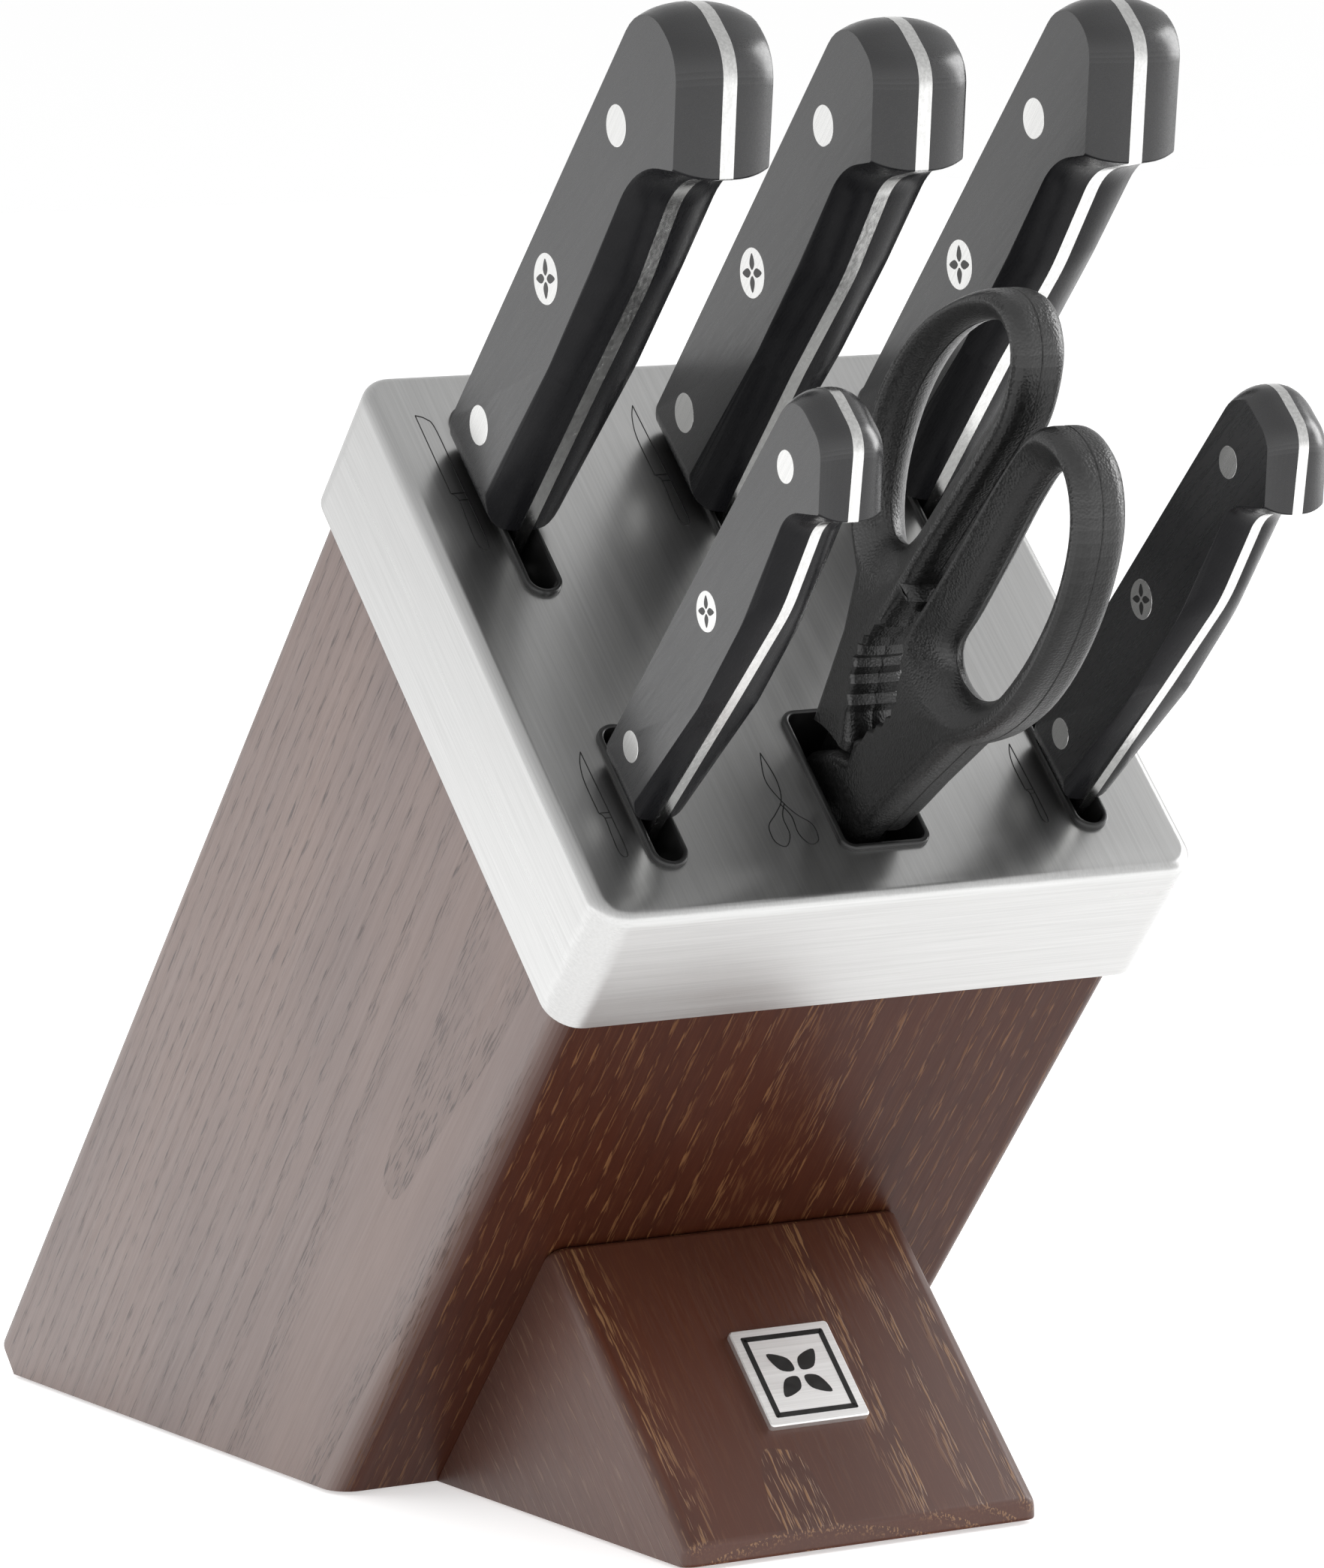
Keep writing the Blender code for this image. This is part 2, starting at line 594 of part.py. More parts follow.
def grip(name, outline, hole, side, plastic, seat):
    """Moulded loop handle; its lower end is halved in thickness where the two grips lap."""
    half = GRIP_HALF_THICKNESS
    rings = [at_x(inset(outline, GRIP_EDGE_ROUND), -half), at_x(outline, -half + GRIP_EDGE_ROUND),
             at_x(outline, half - GRIP_EDGE_ROUND), at_x(inset(outline, GRIP_EDGE_ROUND), half)]
    made = loft(name, rings, plastic, seat)
    opening = [at_x(inset(hole, -GRIP_EDGE_ROUND), -half - 0.01), at_x(hole, -half + GRIP_EDGE_ROUND),
               at_x(hole, half - GRIP_EDGE_ROUND), at_x(inset(hole, -GRIP_EDGE_ROUND), half + 0.01)]
    combine(made, loft(f"cut_{name}_hole", opening, None, seat))
    lap_half = half
    lap_centre = (-side * (lap_half - GAP / 2), 0, 0)
    combine(made, rod(f"cut_{name}_lap", lap_centre, LAP_RADIUS, lap_half, None, seat, 32))
    combine(made, rod(f"cut_{name}_bore", (0, 0, 0), PIVOT_RADIUS + GAP, 9, None, seat))
    recess = inset(shear_blade_outline(side), -GAP)
    depth = side * (GAP / 2 + SHEAR_BLADE_THICKNESS + GAP)
    combine(made, prism(f"cut_{name}_recess", at_x(recess, -side), (side + depth, 0, 0), None, seat))


def shear_blade_outline(side):
    """Blade about the pivot: round-ended tang, straight cutting edge, curved back."""
    corners = [(-7.5, 8.0, 4.0), (7.5, 8.0, 4.0), (9.0, -20.0, 6.0), (6.5, -45.0, 30.0),
               (1.5, -92.0, 1.0), (-3.0, -88.0, 1.0), (-6.5, -30.0, 10.0)]
    return rounded([(side * v, u, radius) for v, u, radius in corners], 2)


def shear_blade(name, side, steel, seat):
    near = at_x(shear_blade_outline(side), side * GAP / 2)
    made = prism(name, near, (side * SHEAR_BLADE_THICKNESS, 0, 0), steel, seat)
    combine(made, rod(f"cut_{name}_bore", (0, 0, 0), PIVOT_RADIUS + GAP, 9, None, seat))


def shears(plastic, steel):
    """Two halves lapped at a pivot; both are built about the pivot's centre."""
    x = SLOT_GRID["shears"][0]
    front_seat = empty("shears_front", LEANING, (x, PIVOT_V, TOP + PIVOT_U))
    back_seat = empty("shears_back", front_seat)

    def about_pivot(points):
        return [Vector((v - PIVOT_V, u - PIVOT_U)) for v, u in points]

    front = smooth(about_pivot(FRONT_LOOP), 2, closed=False)
    front += about_pivot([(6.0, 20.5), (11.2, 0.5), (13.0, -14.0), (17.5, -27.0), (32.0, -27.0),
                          (38.3, -15.0), (36.5, -3.0), (31.0, 3.5), (25.0, 8.0)])
    front += smooth(about_pivot([(24.9, 12.0), (22.3, 19.0), (19.7, 25.0), (19.3, 30.5), (22.9, 38.5),
                                 (25.6, 42.6)]), 2, closed=False)
    back = smooth(about_pivot(BACK_LOOP), 2, closed=False)
    back += about_pivot([(30.6, 51.5), (26.7, 51.0), (26.9, 47.6), (31.0, 46.6)])
    back += smooth(about_pivot([(32.5, 39.3), (34.7, 32.2), (35.2, 27.0), (33.3, 21.4), (30.0, 15.5)]),
                   2, closed=False)
    back += about_pivot([(26.0, 11.0), (25.6, 8.0), (20.5, 3.5), (15.5, -3.0), (13.7, -15.0),
                         (19.5, -27.0), (34.0, -27.0), (38.8, -14.0), (39.9, 3.5), (43.5, 26.0)])
    grip("shears_front_grip", front, smooth(about_pivot(FRONT_HOLE)), -1, plastic, front_seat)
    grip("shears_back_grip", back, smooth(about_pivot(BACK_HOLE)), 1, plastic, back_seat)
    shear_blade("shears_front_blade", -1, steel, front_seat)
    shear_blade("shears_back_blade", 1, steel, back_seat)
    head = PIVOT_RADIUS + 1.8
    face = GRIP_HALF_THICKNESS + GAP
    top = face + 1.2
    profile = [(0, top), (head, top), (head, face), (PIVOT_RADIUS, face),
               (PIVOT_RADIUS, -face), (head, -face), (head, -top), (0, -top)]
    turned("shears_pivot", profile, steel, front_seat)


# ---------------------------------------------------------------- assembly
clear_scene()
PARTS = new_collection("knife_block_with_knives")
CUTTERS = new_collection("cutters")
UPRIGHT = empty("upright_axes", location=(0, ORIGIN_SHIFT, FLOOR_GAP))
LEANING = empty("leaning_axes", UPRIGHT, lean=LEAN)

ASH = material("brown_stained_ash", (0.17, 0.085, 0.055), 0.45)
CORE_WOOD = material("plain_core_wood", (0.25, 0.15, 0.09), 0.6)
CAP_STEEL = material("brushed_cap_steel", (0.62, 0.62, 0.62), 0.32, 1.0)
BLADE_STEEL = material("satin_blade_steel", (0.68, 0.68, 0.68), 0.25, 1.0)
RIVET_STEEL = material("rivet_steel", (0.72, 0.72, 0.72), 0.22, 1.0)
LINER_BLACK = material("slot_liner_black", (0.02, 0.02, 0.02), 0.4)
HANDLE_BLACK = material("handle_black", (0.022, 0.022, 0.023), 0.38)
GRIP_BLACK = material("grained_grip_black", (0.024, 0.024, 0.024), 0.55)
CERAMIC = material("white_ceramic", (0.8, 0.78, 0.72), 0.6)
RUBBER = material("pad_rubber", (0.03, 0.03, 0.03), 0.9)

FLOOR = floor_cutter()
BASE, CORE = wooden_body(ASH, CORE_WOOD, FLOOR)
CAP = cap(CAP_STEEL)
cap_frame(LINER_BLACK)
for slot in SLOT_GRID:
    slot_liner(slot, LINER_BLACK)
    opening_cutter = slot_cutter(slot)
    combine(CAP, opening_cutter)
    combine(CORE, opening_cutter)

EDGES = {"carving": 91.0, "chef": 83.0, "utility": 15.0, "paring": 12.8}
for slot, edge in EDGES.items():
    sharpening_stone(slot, edge, CERAMIC, CORE)

WEDGE = foot(ASH)
badge(CAP_STEEL)
pads(RUBBER, BASE, WEDGE)

FINISHES = (BLADE_STEEL, HANDLE_BLACK, RIVET_STEEL)
knife("bread", LARGE_MID, LARGE_FLAT, [(108.6, 17.2, 4.1), (106.4, 60.2, 5.1), (104.1, 103.2, 4.1)],
      LARGE_HALF, TANG_THICKNESS, (89.5, 205.0, serrated_edge), *FINISHES)
knife("carving", SHORT_MID, SHORT_FLAT, [(110.3, 15.7, 4.1), (108.3, 57.3, 5.1), (106.5, 99.0, 4.1)],
      LARGE_HALF, TANG_THICKNESS, (EDGES["carving"], 205.0, slicer_edge), *FINISHES)
knife("chef", MIDDLE_MID, MIDDLE_FLAT, [(110.3, 15.7, 4.1), (108.3, 57.1, 5.1), (106.7, 98.9, 4.1)],
      LARGE_HALF, TANG_THICKNESS, (EDGES["chef"], 205.0, chef_edge), *FINISHES)
knife("utility", SMALL_MID, SMALL_FLAT, [(28.0, 13.1, 3.2), (24.2, 55.6, 4.0), (20.9, 98.3, 3.2)],
      SMALL_HALF, SMALL_TANG_THICKNESS, (EDGES["utility"], 138.0, slicer_edge), *FINISHES)
knife("paring", shifted(SMALL_MID, -3.8, -1.4), shifted(SMALL_FLAT, -3.8, -1.4),
      [(23.5, 12.1, 3.2), (20.8, 54.3, 4.0), (17.2, 96.4, 3.2)],
      SMALL_HALF, SMALL_TANG_THICKNESS, (EDGES["paring"], 108.0, chef_edge), *FINISHES)
shears(GRIP_BLACK, BLADE_STEEL)
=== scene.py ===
"""Looks for the leaning knife block: fine surfaces, procedural materials, studio and camera.

Shapes are drawn in millimetres in the block's leaning axes: x across, v through the block from
its front face, u up along it.  u of handles, shears and slots is counted from the cap's top.
"""
import json
from math import atan2, cos, pi, radians, sin, tan

import bmesh
import bpy
from mathutils import Matrix, Vector


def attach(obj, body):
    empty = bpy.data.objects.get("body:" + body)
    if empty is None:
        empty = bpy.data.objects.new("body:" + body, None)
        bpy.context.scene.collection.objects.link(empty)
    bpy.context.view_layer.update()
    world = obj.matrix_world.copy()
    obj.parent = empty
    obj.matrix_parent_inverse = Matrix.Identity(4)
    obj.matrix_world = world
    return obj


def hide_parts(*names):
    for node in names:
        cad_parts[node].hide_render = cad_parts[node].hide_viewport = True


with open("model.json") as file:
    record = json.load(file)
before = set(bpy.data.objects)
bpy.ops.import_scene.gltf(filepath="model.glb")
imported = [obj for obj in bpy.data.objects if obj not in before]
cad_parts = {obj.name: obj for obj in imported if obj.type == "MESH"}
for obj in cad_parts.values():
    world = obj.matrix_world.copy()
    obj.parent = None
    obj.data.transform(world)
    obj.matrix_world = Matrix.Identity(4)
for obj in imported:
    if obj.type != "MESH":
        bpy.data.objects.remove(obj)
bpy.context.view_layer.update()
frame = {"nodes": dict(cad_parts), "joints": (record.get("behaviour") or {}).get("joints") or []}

MM = 0.001
ARC_STEPS = 8
SHARP_ANGLE = 30

# Block
TOP = 190.3
WOOD_WIDTH = 126.0
WOOD_DEPTH = 136.0
WOOD_EDGE_RADIUS = 5.0
WOOD_END = -126.5
WOOD_END_CHAMFER = 0.8
SIDE_WALL = 9.0
FRONT_WALL = 6.5
HOLLOW_FLOOR = 40.0
CAP_WIDTH = 133.0
CAP_DEPTH = 143.0
CAP_HEIGHT = 32.6
CAP_SHEET = 1.2
CAP_CORNER_RADIUS = 7.1
CAP_TOP_RADIUS = 2.6
SLOT_PITCH = 46.8
RIM_HEIGHT = 1.2
RIM_LIP = 1.25
LINER_DEPTH = 30.0
WINDOW_MARGIN = 0.45
SLOT_HALF = 4.07
SLOT_GRID = {
    # name: (x centre, v front end, v back end, rim half width, corner radius)
    "bread": (-SLOT_PITCH, 78.0, 128.8, SLOT_HALF, SLOT_HALF),
    "carving": (0.0, 78.0, 128.8, SLOT_HALF, SLOT_HALF),
    "chef": (SLOT_PITCH, 78.0, 128.8, SLOT_HALF, SLOT_HALF),
    "utility": (-SLOT_PITCH, 7.9, 44.0, SLOT_HALF, SLOT_HALF),
    "shears": (0.0, 8.1, 43.9, 10.0, 3.2),
    "paring": (SLOT_PITCH, 8.2, 44.0, SLOT_HALF, SLOT_HALF),
}

# Foot and badge
FOOT_WIDTH = 80.0
FOOT_TOP = 81.0
FOOT_REACH = 111.7
FOOT_NOSE = 4.5
FOOT_ROUND = 3.0
FRONT_GAP = 0.1
BADGE_WIDTH = 22.5
BADGE_LENGTH = 24.0
BADGE_THICKNESS = 1.5
BADGE_BEVEL = 0.25
BADGE_DOWN_SLOPE = 39.0
ENAMEL_MARGIN = 1.9
ENAMEL_LINE = 1.2
ENAMEL_START = 1.2
ENAMEL_PROUD = 0.04

# Knives and shears
TANG_THICKNESS = 2.9
SMALL_TANG_THICKNESS = 2.2
EDGE_THICKNESS = 0.3
SPINE_THICKNESS = 2.4
BLADE_START = -9.0
HEEL_END = BLADE_START - 2.5
HANDLE_INSET = 0.2
HANDLE_SHARP_ANGLE = 24
TANG_INSET = 0.15
RIVET_PROUD = 0.05
RIVET_CHAMFER = (0.15, 0.12)
GRIP_HALF_THICKNESS = 5.7
GRIP_INSET = 0.12
GRIP_SHARP_ANGLE = 40
GROOVE = (0.2, 0.22)
PIVOT_V = 26.0
PIVOT_U = -13.0
LAP_RADIUS = 21.3
LAP_GAP = 0.15
LAP_REACH = 9.0
TEETH_DEPTH = 0.9

# The leaning axes, from the sliding direction and the shears' pivot that the record gives
SLIDE = next(joint for joint in frame["joints"] if joint["type"] == "slide")
HINGE = next(joint for joint in frame["joints"] if joint["type"] == "hinge")
ALONG = Vector(SLIDE["axis"]).normalized()
THROUGH = Vector((0, ALONG.z, -ALONG.y))
LEAN = atan2(-ALONG.y, ALONG.z)
BASE = Vector(HINGE["pos_m"]) - THROUGH * PIVOT_V * MM - ALONG * (TOP + PIVOT_U) * MM
UPRIGHT = Matrix.Translation(BASE)
LEANING = UPRIGHT @ Matrix.Rotation(LEAN, 4, "X")
ON_TOP = LEANING @ Matrix.Translation((0, 0, TOP * MM))


# ---------------------------------------------------------------- outlines
def rounded(corners, steps=ARC_STEPS):
    """Closed outline through corners (a, b, radius); each radius becomes a tangent arc."""
    points = []
    for index, (a, b, radius) in enumerate(corners):
        here = Vector((a, b))
        if radius == 0:
            points.append(here)
            continue
        back = (Vector(corners[index - 1][:2]) - here).normalized()
        ahead = (Vector(corners[(index + 1) % len(corners)][:2]) - here).normalized()
        half = back.angle(ahead) / 2
        centre = here + (back + ahead).normalized() * (radius / sin(half))
        reach = radius / tan(half)
        start = here + back * reach - centre
        end = here + ahead * reach - centre
        turn = atan2(start.x * end.y - start.y * end.x, start.dot(end))
        for step in range(steps + 1):
            angle = turn * step / steps
            spun = Vector((start.x * cos(angle) - start.y * sin(angle),
                           start.x * sin(angle) + start.y * cos(angle)))
            points.append(centre + spun)
    return points


def smooth(points, steps=6, closed=True):
    """Catmull-Rom curve through the points."""
    spots = [Vector(point) for point in points]
    count = len(spots)
    spans = count if closed else count - 1
    result = []
    for index in range(spans):
        p1 = spots[index]
        p2 = spots[(index + 1) % count]
        p0 = spots[index - 1] if closed or index > 0 else p1
        p3 = spots[(index + 2) % count] if closed or index + 2 < count else p2
        for step in range(steps):
            t = step / steps
            result.append(0.5 * (2 * p1 + (p2 - p0) * t + (2 * p0 - 5 * p1 + 4 * p2 - p3) * t * t
                                 + (3 * p1 - p0 - 3 * p2 + p3) * t ** 3))
    if not closed:
        result.append(spots[-1])
    return result


def inset(outline, distance):
    """Outline moved inwards by a distance, mitred at its corners (outwards if negative)."""
    area = sum(outline[i - 1].x * p.y - p.x * outline[i - 1].y for i, p in enumerate(outline))
    side = 1 if area > 0 else -1
    moved = []
    for index, here in enumerate(outline):
        before = (here - outline[index - 1]).normalized()
        after = (outline[(index + 1) % len(outline)] - here).normalized()
        normal_a = Vector((-before.y, before.x)) * side
        normal_b = Vector((-after.y, after.x)) * side
        moved.append(here + (normal_a + normal_b) * (distance / (1 + normal_a.dot(normal_b))))
    return moved


def rectangle(half_a, half_b, radius, centre=(0.0, 0.0), steps=ARC_STEPS):
    a, b = centre
    corners = [(a + half_a, b + half_b, radius), (a - half_a, b + half_b, radius),
               (a - half_a, b - half_b, radius), (a + half_a, b - half_b, radius)]
    return rounded(corners, steps)


def circle(radius, centre=(0.0, 0.0), sides=40):
    turns = [2 * pi * step / sides for step in range(sides)]
    return [Vector((centre[0] + radius * cos(t), centre[1] + radius * sin(t))) for t in turns]


def at_x(outline, x):
    return [(x, point.x, point.y) for point in outline]


def at_u(outline, u):
    return [(point.x, point.y, u) for point in outline]


def beside_front(u):
    """Upright (y, z) of the point just in front of the block's front face at height u."""
    return -u * sin(LEAN) - FRONT_GAP * cos(LEAN), u * cos(LEAN) - FRONT_GAP * sin(LEAN)


def slope_down():
    """Crest of the foot in upright axes, and the direction down its slope."""
    crest = Vector((0, *beside_front(FOOT_TOP)))
    return crest, (Vector((0, -FOOT_REACH, FOOT_NOSE)) - crest).normalized()


def foot_tilt():
    _, down = slope_down()
    return atan2(-down.z, -down.y)


def foot_slope():
    """Axes on the foot's slope: x across, y up the slope, z out of it; origin at the badge."""
    crest, down = slope_down()
    place = (crest + down * BADGE_DOWN_SLOPE) * MM
    return UPRIGHT @ Matrix.Translation(place) @ Matrix.Rotation(foot_tilt(), 4, "X")


# ---------------------------------------------------------------- pieces
def add_piece(name, mesh, finish, body, axes, replaced=(), sharp=SHARP_ANGLE):
    """Object from a bmesh in millimetres in the given axes, riding on a CAD body.

    Without a body it is left bare, as a tool for cut().
    """
    bmesh.ops.recalc_face_normals(mesh, faces=mesh.faces)
    bmesh.ops.transform(mesh, matrix=axes @ Matrix.Scale(MM, 4), verts=mesh.verts)
    data = bpy.data.meshes.new(name)
    mesh.to_mesh(data)
    mesh.free()
    data.shade_smooth()
    data.set_sharp_from_angle(angle=radians(sharp))
    piece = bpy.data.objects.new(name, data)
    bpy.context.scene.collection.objects.link(piece)
    if body is None:
        return piece
    data.materials.append(finish)
    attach(piece, body)
    if replaced:
        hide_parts(*replaced)
    return piece


def skin(rings, loop=False):
    """Bmesh skinned over rings of equally many points, capped or closed into a loop."""
    mesh = bmesh.new()
    rows = [[mesh.verts.new(point) for point in ring] for ring in rings]
    pairs = list(zip(rows, rows[1:]))
    if loop:
        pairs.append((rows[-1], rows[0]))
    else:
        mesh.faces.new(rows[0])
        mesh.faces.new(rows[-1])
    for low, high in pairs:
        for index in range(len(low)):
            mesh.faces.new((low[index - 1], low[index], high[index], high[index - 1]))
    return mesh


def cut(piece, *cutters, sharp=SHARP_ANGLE):
    """Cuts the cutters out of a piece for good, and removes them."""
    for cutter in cutters:
        modifier = piece.modifiers.new("cut", "BOOLEAN")
        modifier.operation = "DIFFERENCE"
        modifier.solver = "EXACT"
        modifier.object = cutter
        bpy.context.view_layer.update()
        evaluated = piece.evaluated_get(bpy.context.evaluated_depsgraph_get())
        data = bpy.data.meshes.new_from_object(evaluated)
        piece.modifiers.clear()
        piece.data = data
        bpy.data.objects.remove(cutter)
    piece.data.shade_smooth()
    piece.data.set_sharp_from_angle(angle=radians(sharp))
    return piece


# ---------------------------------------------------------------- materials
class Shading:
    """Small helper around one material's node tree."""

    def __init__(self, name, colour, roughness, metallic=0.0, tilt=LEAN):
        self.tilt = tilt
        self.material = bpy.data.materials.new(name)
        self.material.use_nodes = True
        self.tree = self.material.node_tree
        self.shader = self.tree.nodes["Principled BSDF"]
        self.shader.inputs["Base Color"].default_value = (*colour, 1.0)
        self.shader.inputs["Roughness"].default_value = roughness
        self.shader.inputs["Metallic"].default_value = metallic

    def node(self, kind, **values):
        made = self.tree.nodes.new(kind)
        for key, value in values.items():
            made.inputs[key].default_value = value
        return made

    def link(self, source, target):
        self.tree.links.new(source, target)

    def space(self, scale=(1, 1, 1), turn=0.0):
        """Metres along the tilted axes, turned about X by an angle and then stretched."""
        coordinates = self.tree.nodes.new("ShaderNodeTexCoord")
        tilted = self.node("ShaderNodeMapping", Rotation=(-self.tilt - turn, 0, 0))
        stretched = self.node("ShaderNodeMapping", Scale=scale)
        self.link(coordinates.outputs["Object"], tilted.inputs["Vector"])
        self.link(tilted.outputs["Vector"], stretched.inputs["Vector"])
        return stretched.outputs["Vector"]

    def facing(self, direction, low, high, either_way=True):
        """0 to 1 as the surface turns towards a direction, between two values of their cosine."""
        geometry = self.tree.nodes.new("ShaderNodeNewGeometry")
        dot = self.tree.nodes.new("ShaderNodeVectorMath")
        dot.operation = "DOT_PRODUCT"
        dot.inputs[1].default_value = direction
        self.link(geometry.outputs["True Normal"], dot.inputs[0])
        value = dot.outputs["Value"]
        if either_way:
            size = self.tree.nodes.new("ShaderNodeMath")
            size.operation = "ABSOLUTE"
            self.link(value, size.inputs[0])
            value = size.outputs[0]
        return self.spread(value, 0.0, 1.0, low, high)

    def sheen_above(self, under, above):
        """Less gloss on surfaces that face down, which see little light."""
        share = self.facing((0, 0, -1), -0.1, 0.5, either_way=False)
        level = self.spread(share, above, under, 0.0, 1.0)
        self.link(level, self.shader.inputs["Specular IOR Level"])

    def noise(self, vector, scale, detail=3.0, roughness=0.6, distortion=0.0):
        made = self.node("ShaderNodeTexNoise", Scale=scale, Detail=detail, Roughness=roughness,
                         Distortion=distortion)
        self.link(vector, made.inputs["Vector"])
        return made.outputs["Fac"]

    def ramp(self, factor, stops):
        made = self.tree.nodes.new("ShaderNodeValToRGB")
        elements = made.color_ramp.elements
        for index, (place, colour) in enumerate(stops):
            element = elements[index] if index < 2 else elements.new(place)
            element.position = place
            element.color = (*colour, 1.0)
        self.link(factor, made.inputs["Fac"])
        return made.outputs["Color"]

    def spread(self, factor, low, high, from_low=0.3, from_high=0.7):
        made = self.node("ShaderNodeMapRange")
        made.inputs["From Min"].default_value = from_low
        made.inputs["From Max"].default_value = from_high
        made.inputs["To Min"].default_value = low
        made.inputs["To Max"].default_value = high
        self.link(factor, made.inputs["Value"])
        return made.outputs["Result"]

    def mix(self, factor, a, b, blend="MIX"):
        made = self.tree.nodes.new("ShaderNodeMix")
        made.data_type = "RGBA"
        made.blend_type = blend
        sockets = (made.inputs["Factor"], made.inputs[6], made.inputs[7])
        for socket, value in zip(sockets, (factor, a, b)):
            if isinstance(value, bpy.types.NodeSocket):
                self.link(value, socket)
            else:
                socket.default_value = value if isinstance(value, float) else (*value, 1.0)
        return made.outputs[2]

    def bump(self, height, strength, distance):
        made = self.node("ShaderNodeBump", Strength=strength, Distance=distance * MM)
        self.link(height, made.inputs["Height"])
        self.link(made.outputs["Normal"], self.shader.inputs["Normal"])

    def colour(self, socket):
        self.link(socket, self.shader.inputs["Base Color"])

    def rough(self, socket):
        self.link(socket, self.shader.inputs["Roughness"])


def scaled(colour, factor):
    return tuple(min(1.0, part * factor) for part in colour)


def ash_wood(name, along, tilt, heart, front, sides, shaded_front_pores, sheen_side_pores):
    """Stained ash: growth rings about a slightly tipped heart line, with open pores along them."""
    look = Shading(name, front, 0.42, tilt=tilt)
    squeeze = [1.0, 1.0, 1.0]

    def stretched(share):
        squeeze[along] = share
        return look.space(scale=tuple(squeeze))

    # Painted light: faces turned sideways get the lighter side colours as a painted sheen, and the
    # other faces get the darker front colours as painted shade, pores included.
    painted_sheen_share = look.facing((1, 0, 0), 0.3, 0.95)
    placed = look.node("ShaderNodeMapping", Location=heart, Rotation=(0.012, 0.05, 0.0))
    look.link(stretched(0.3), placed.inputs["Vector"])
    rings = look.tree.nodes.new("ShaderNodeTexWave")
    rings.wave_type = "RINGS"
    rings.rings_direction = "Z" if along == 2 else "Y"
    rings.wave_profile = "SAW"
    rings.inputs["Scale"].default_value = 95.0
    rings.inputs["Distortion"].default_value = 2.2
    rings.inputs["Detail"].default_value = 2.0
    rings.inputs["Detail Scale"].default_value = 0.35
    look.link(placed.outputs["Vector"], rings.inputs["Vector"])
    growth = rings.outputs["Fac"]
    clouds = look.noise(stretched(0.3), 22, 3)
    streaks = look.noise(stretched(0.02), 1500, 3, 0.7)
    sheen_and_shade_tint = look.mix(painted_sheen_share, front, sides)
    tone = look.ramp(clouds, [(0.3, (0.84, 0.84, 0.86)), (0.7, (1.13, 1.1, 1.06))])
    base = look.mix(1.0, sheen_and_shade_tint, tone, "MULTIPLY")
    late = look.ramp(growth, [(0.55, (1, 1, 1)), (1.0, (0.86, 0.84, 0.83))])
    base = look.mix(1.0, base, late, "MULTIPLY")
    darker = look.mix(1.0, base, (0.75, 0.74, 0.73), "MULTIPLY")
    base = look.mix(look.spread(streaks, 0.0, 0.3), base, darker)
    pore = look.spread(look.noise(stretched(0.06), 2300, 2, 0.5), 0.0, 1.0, 0.53, 0.62)
    amount = look.node("ShaderNodeMath")
    amount.operation = "MULTIPLY"
    look.link(pore, amount.inputs[0])
    look.link(look.spread(growth, 0.06, 0.9, 0.45, 0.9), amount.inputs[1])
    look.colour(look.mix(amount.outputs[0], base, look.mix(painted_sheen_share, shaded_front_pores, sheen_side_pores)))
    look.rough(look.spread(streaks, 0.36, 0.48))
    look.sheen_above(0.15, 0.75)
    look.bump(amount.outputs[0], 0.3, 0.12)
    return look.material


def brushed_steel(name, along, colour, roughness, scratch=1.0, front_along=None):
    """Steel with fine parallel brushing along one axis, or another on its front and back."""
    look = Shading(name, colour, roughness, 1.0)

    def brushing(axis, scale, detail):
        squeeze = [1.0, 1.0, 1.0]
        squeeze[axis] = 0.012
        return look.noise(look.space(scale=tuple(squeeze)), scale, detail)

    lines = brushing(along, 2600, 3)
    cloud = brushing(along, 260, 2)
    if front_along is not None:
        fronting = look.facing(THROUGH, 0.5, 0.9)
        lines = look.mix(fronting, lines, brushing(front_along, 2600, 3))
        cloud = look.mix(fronting, cloud, brushing(front_along, 260, 2))
    look.colour(look.ramp(lines, [(0.3, scaled(colour, 0.92)), (0.7, scaled(colour, 1.06))]))
    look.rough(look.spread(cloud, roughness * 0.94, roughness * 1.06))
    look.bump(lines, 0.05 * scratch, 0.01)
    return look.material


def ground_steel(name, colour, roughness):
    """Blade and tang steel with crossed grinding marks."""
    look = Shading(name, colour, roughness, 1.0)
    one = look.noise(look.space(scale=(1, 1, 0.05), turn=0.35), 1800, 2)
    two = look.noise(look.space(scale=(1, 1, 0.05), turn=-0.5), 1500, 2)
    both = look.node("ShaderNodeMath")
    look.link(one, both.inputs[0])
    look.link(two, both.inputs[1])
    half = look.spread(both.outputs[0], 0.0, 1.0, 0.7, 1.3)
    look.rough(look.spread(half, roughness * 0.8, roughness * 1.25, 0.0, 1.0))
    look.colour(look.ramp(half, [(0.2, scaled(colour, 0.85)), (0.8, colour)]))
    look.bump(half, 0.15, 0.02)
    return look.material


def handle_plastic(name, roughness):
    """Satin black handle plastic with faint polishing marks along the handle."""
    look = Shading(name, (0.008, 0.008, 0.009), roughness)
    look.sheen_above(0.1, 1.0)
    marks = look.noise(look.space(scale=(1, 1, 0.06), turn=0.2), 1400, 3, 0.7)
    cloud = look.noise(look.space(), 45, 3)
    look.rough(look.spread(marks, roughness * 0.85, roughness * 1.25))
    look.colour(look.ramp(cloud, [(0.3, (0.006, 0.006, 0.007)), (0.7, (0.011, 0.011, 0.012))]))
    look.bump(marks, 0.06, 0.03)
    return look.material


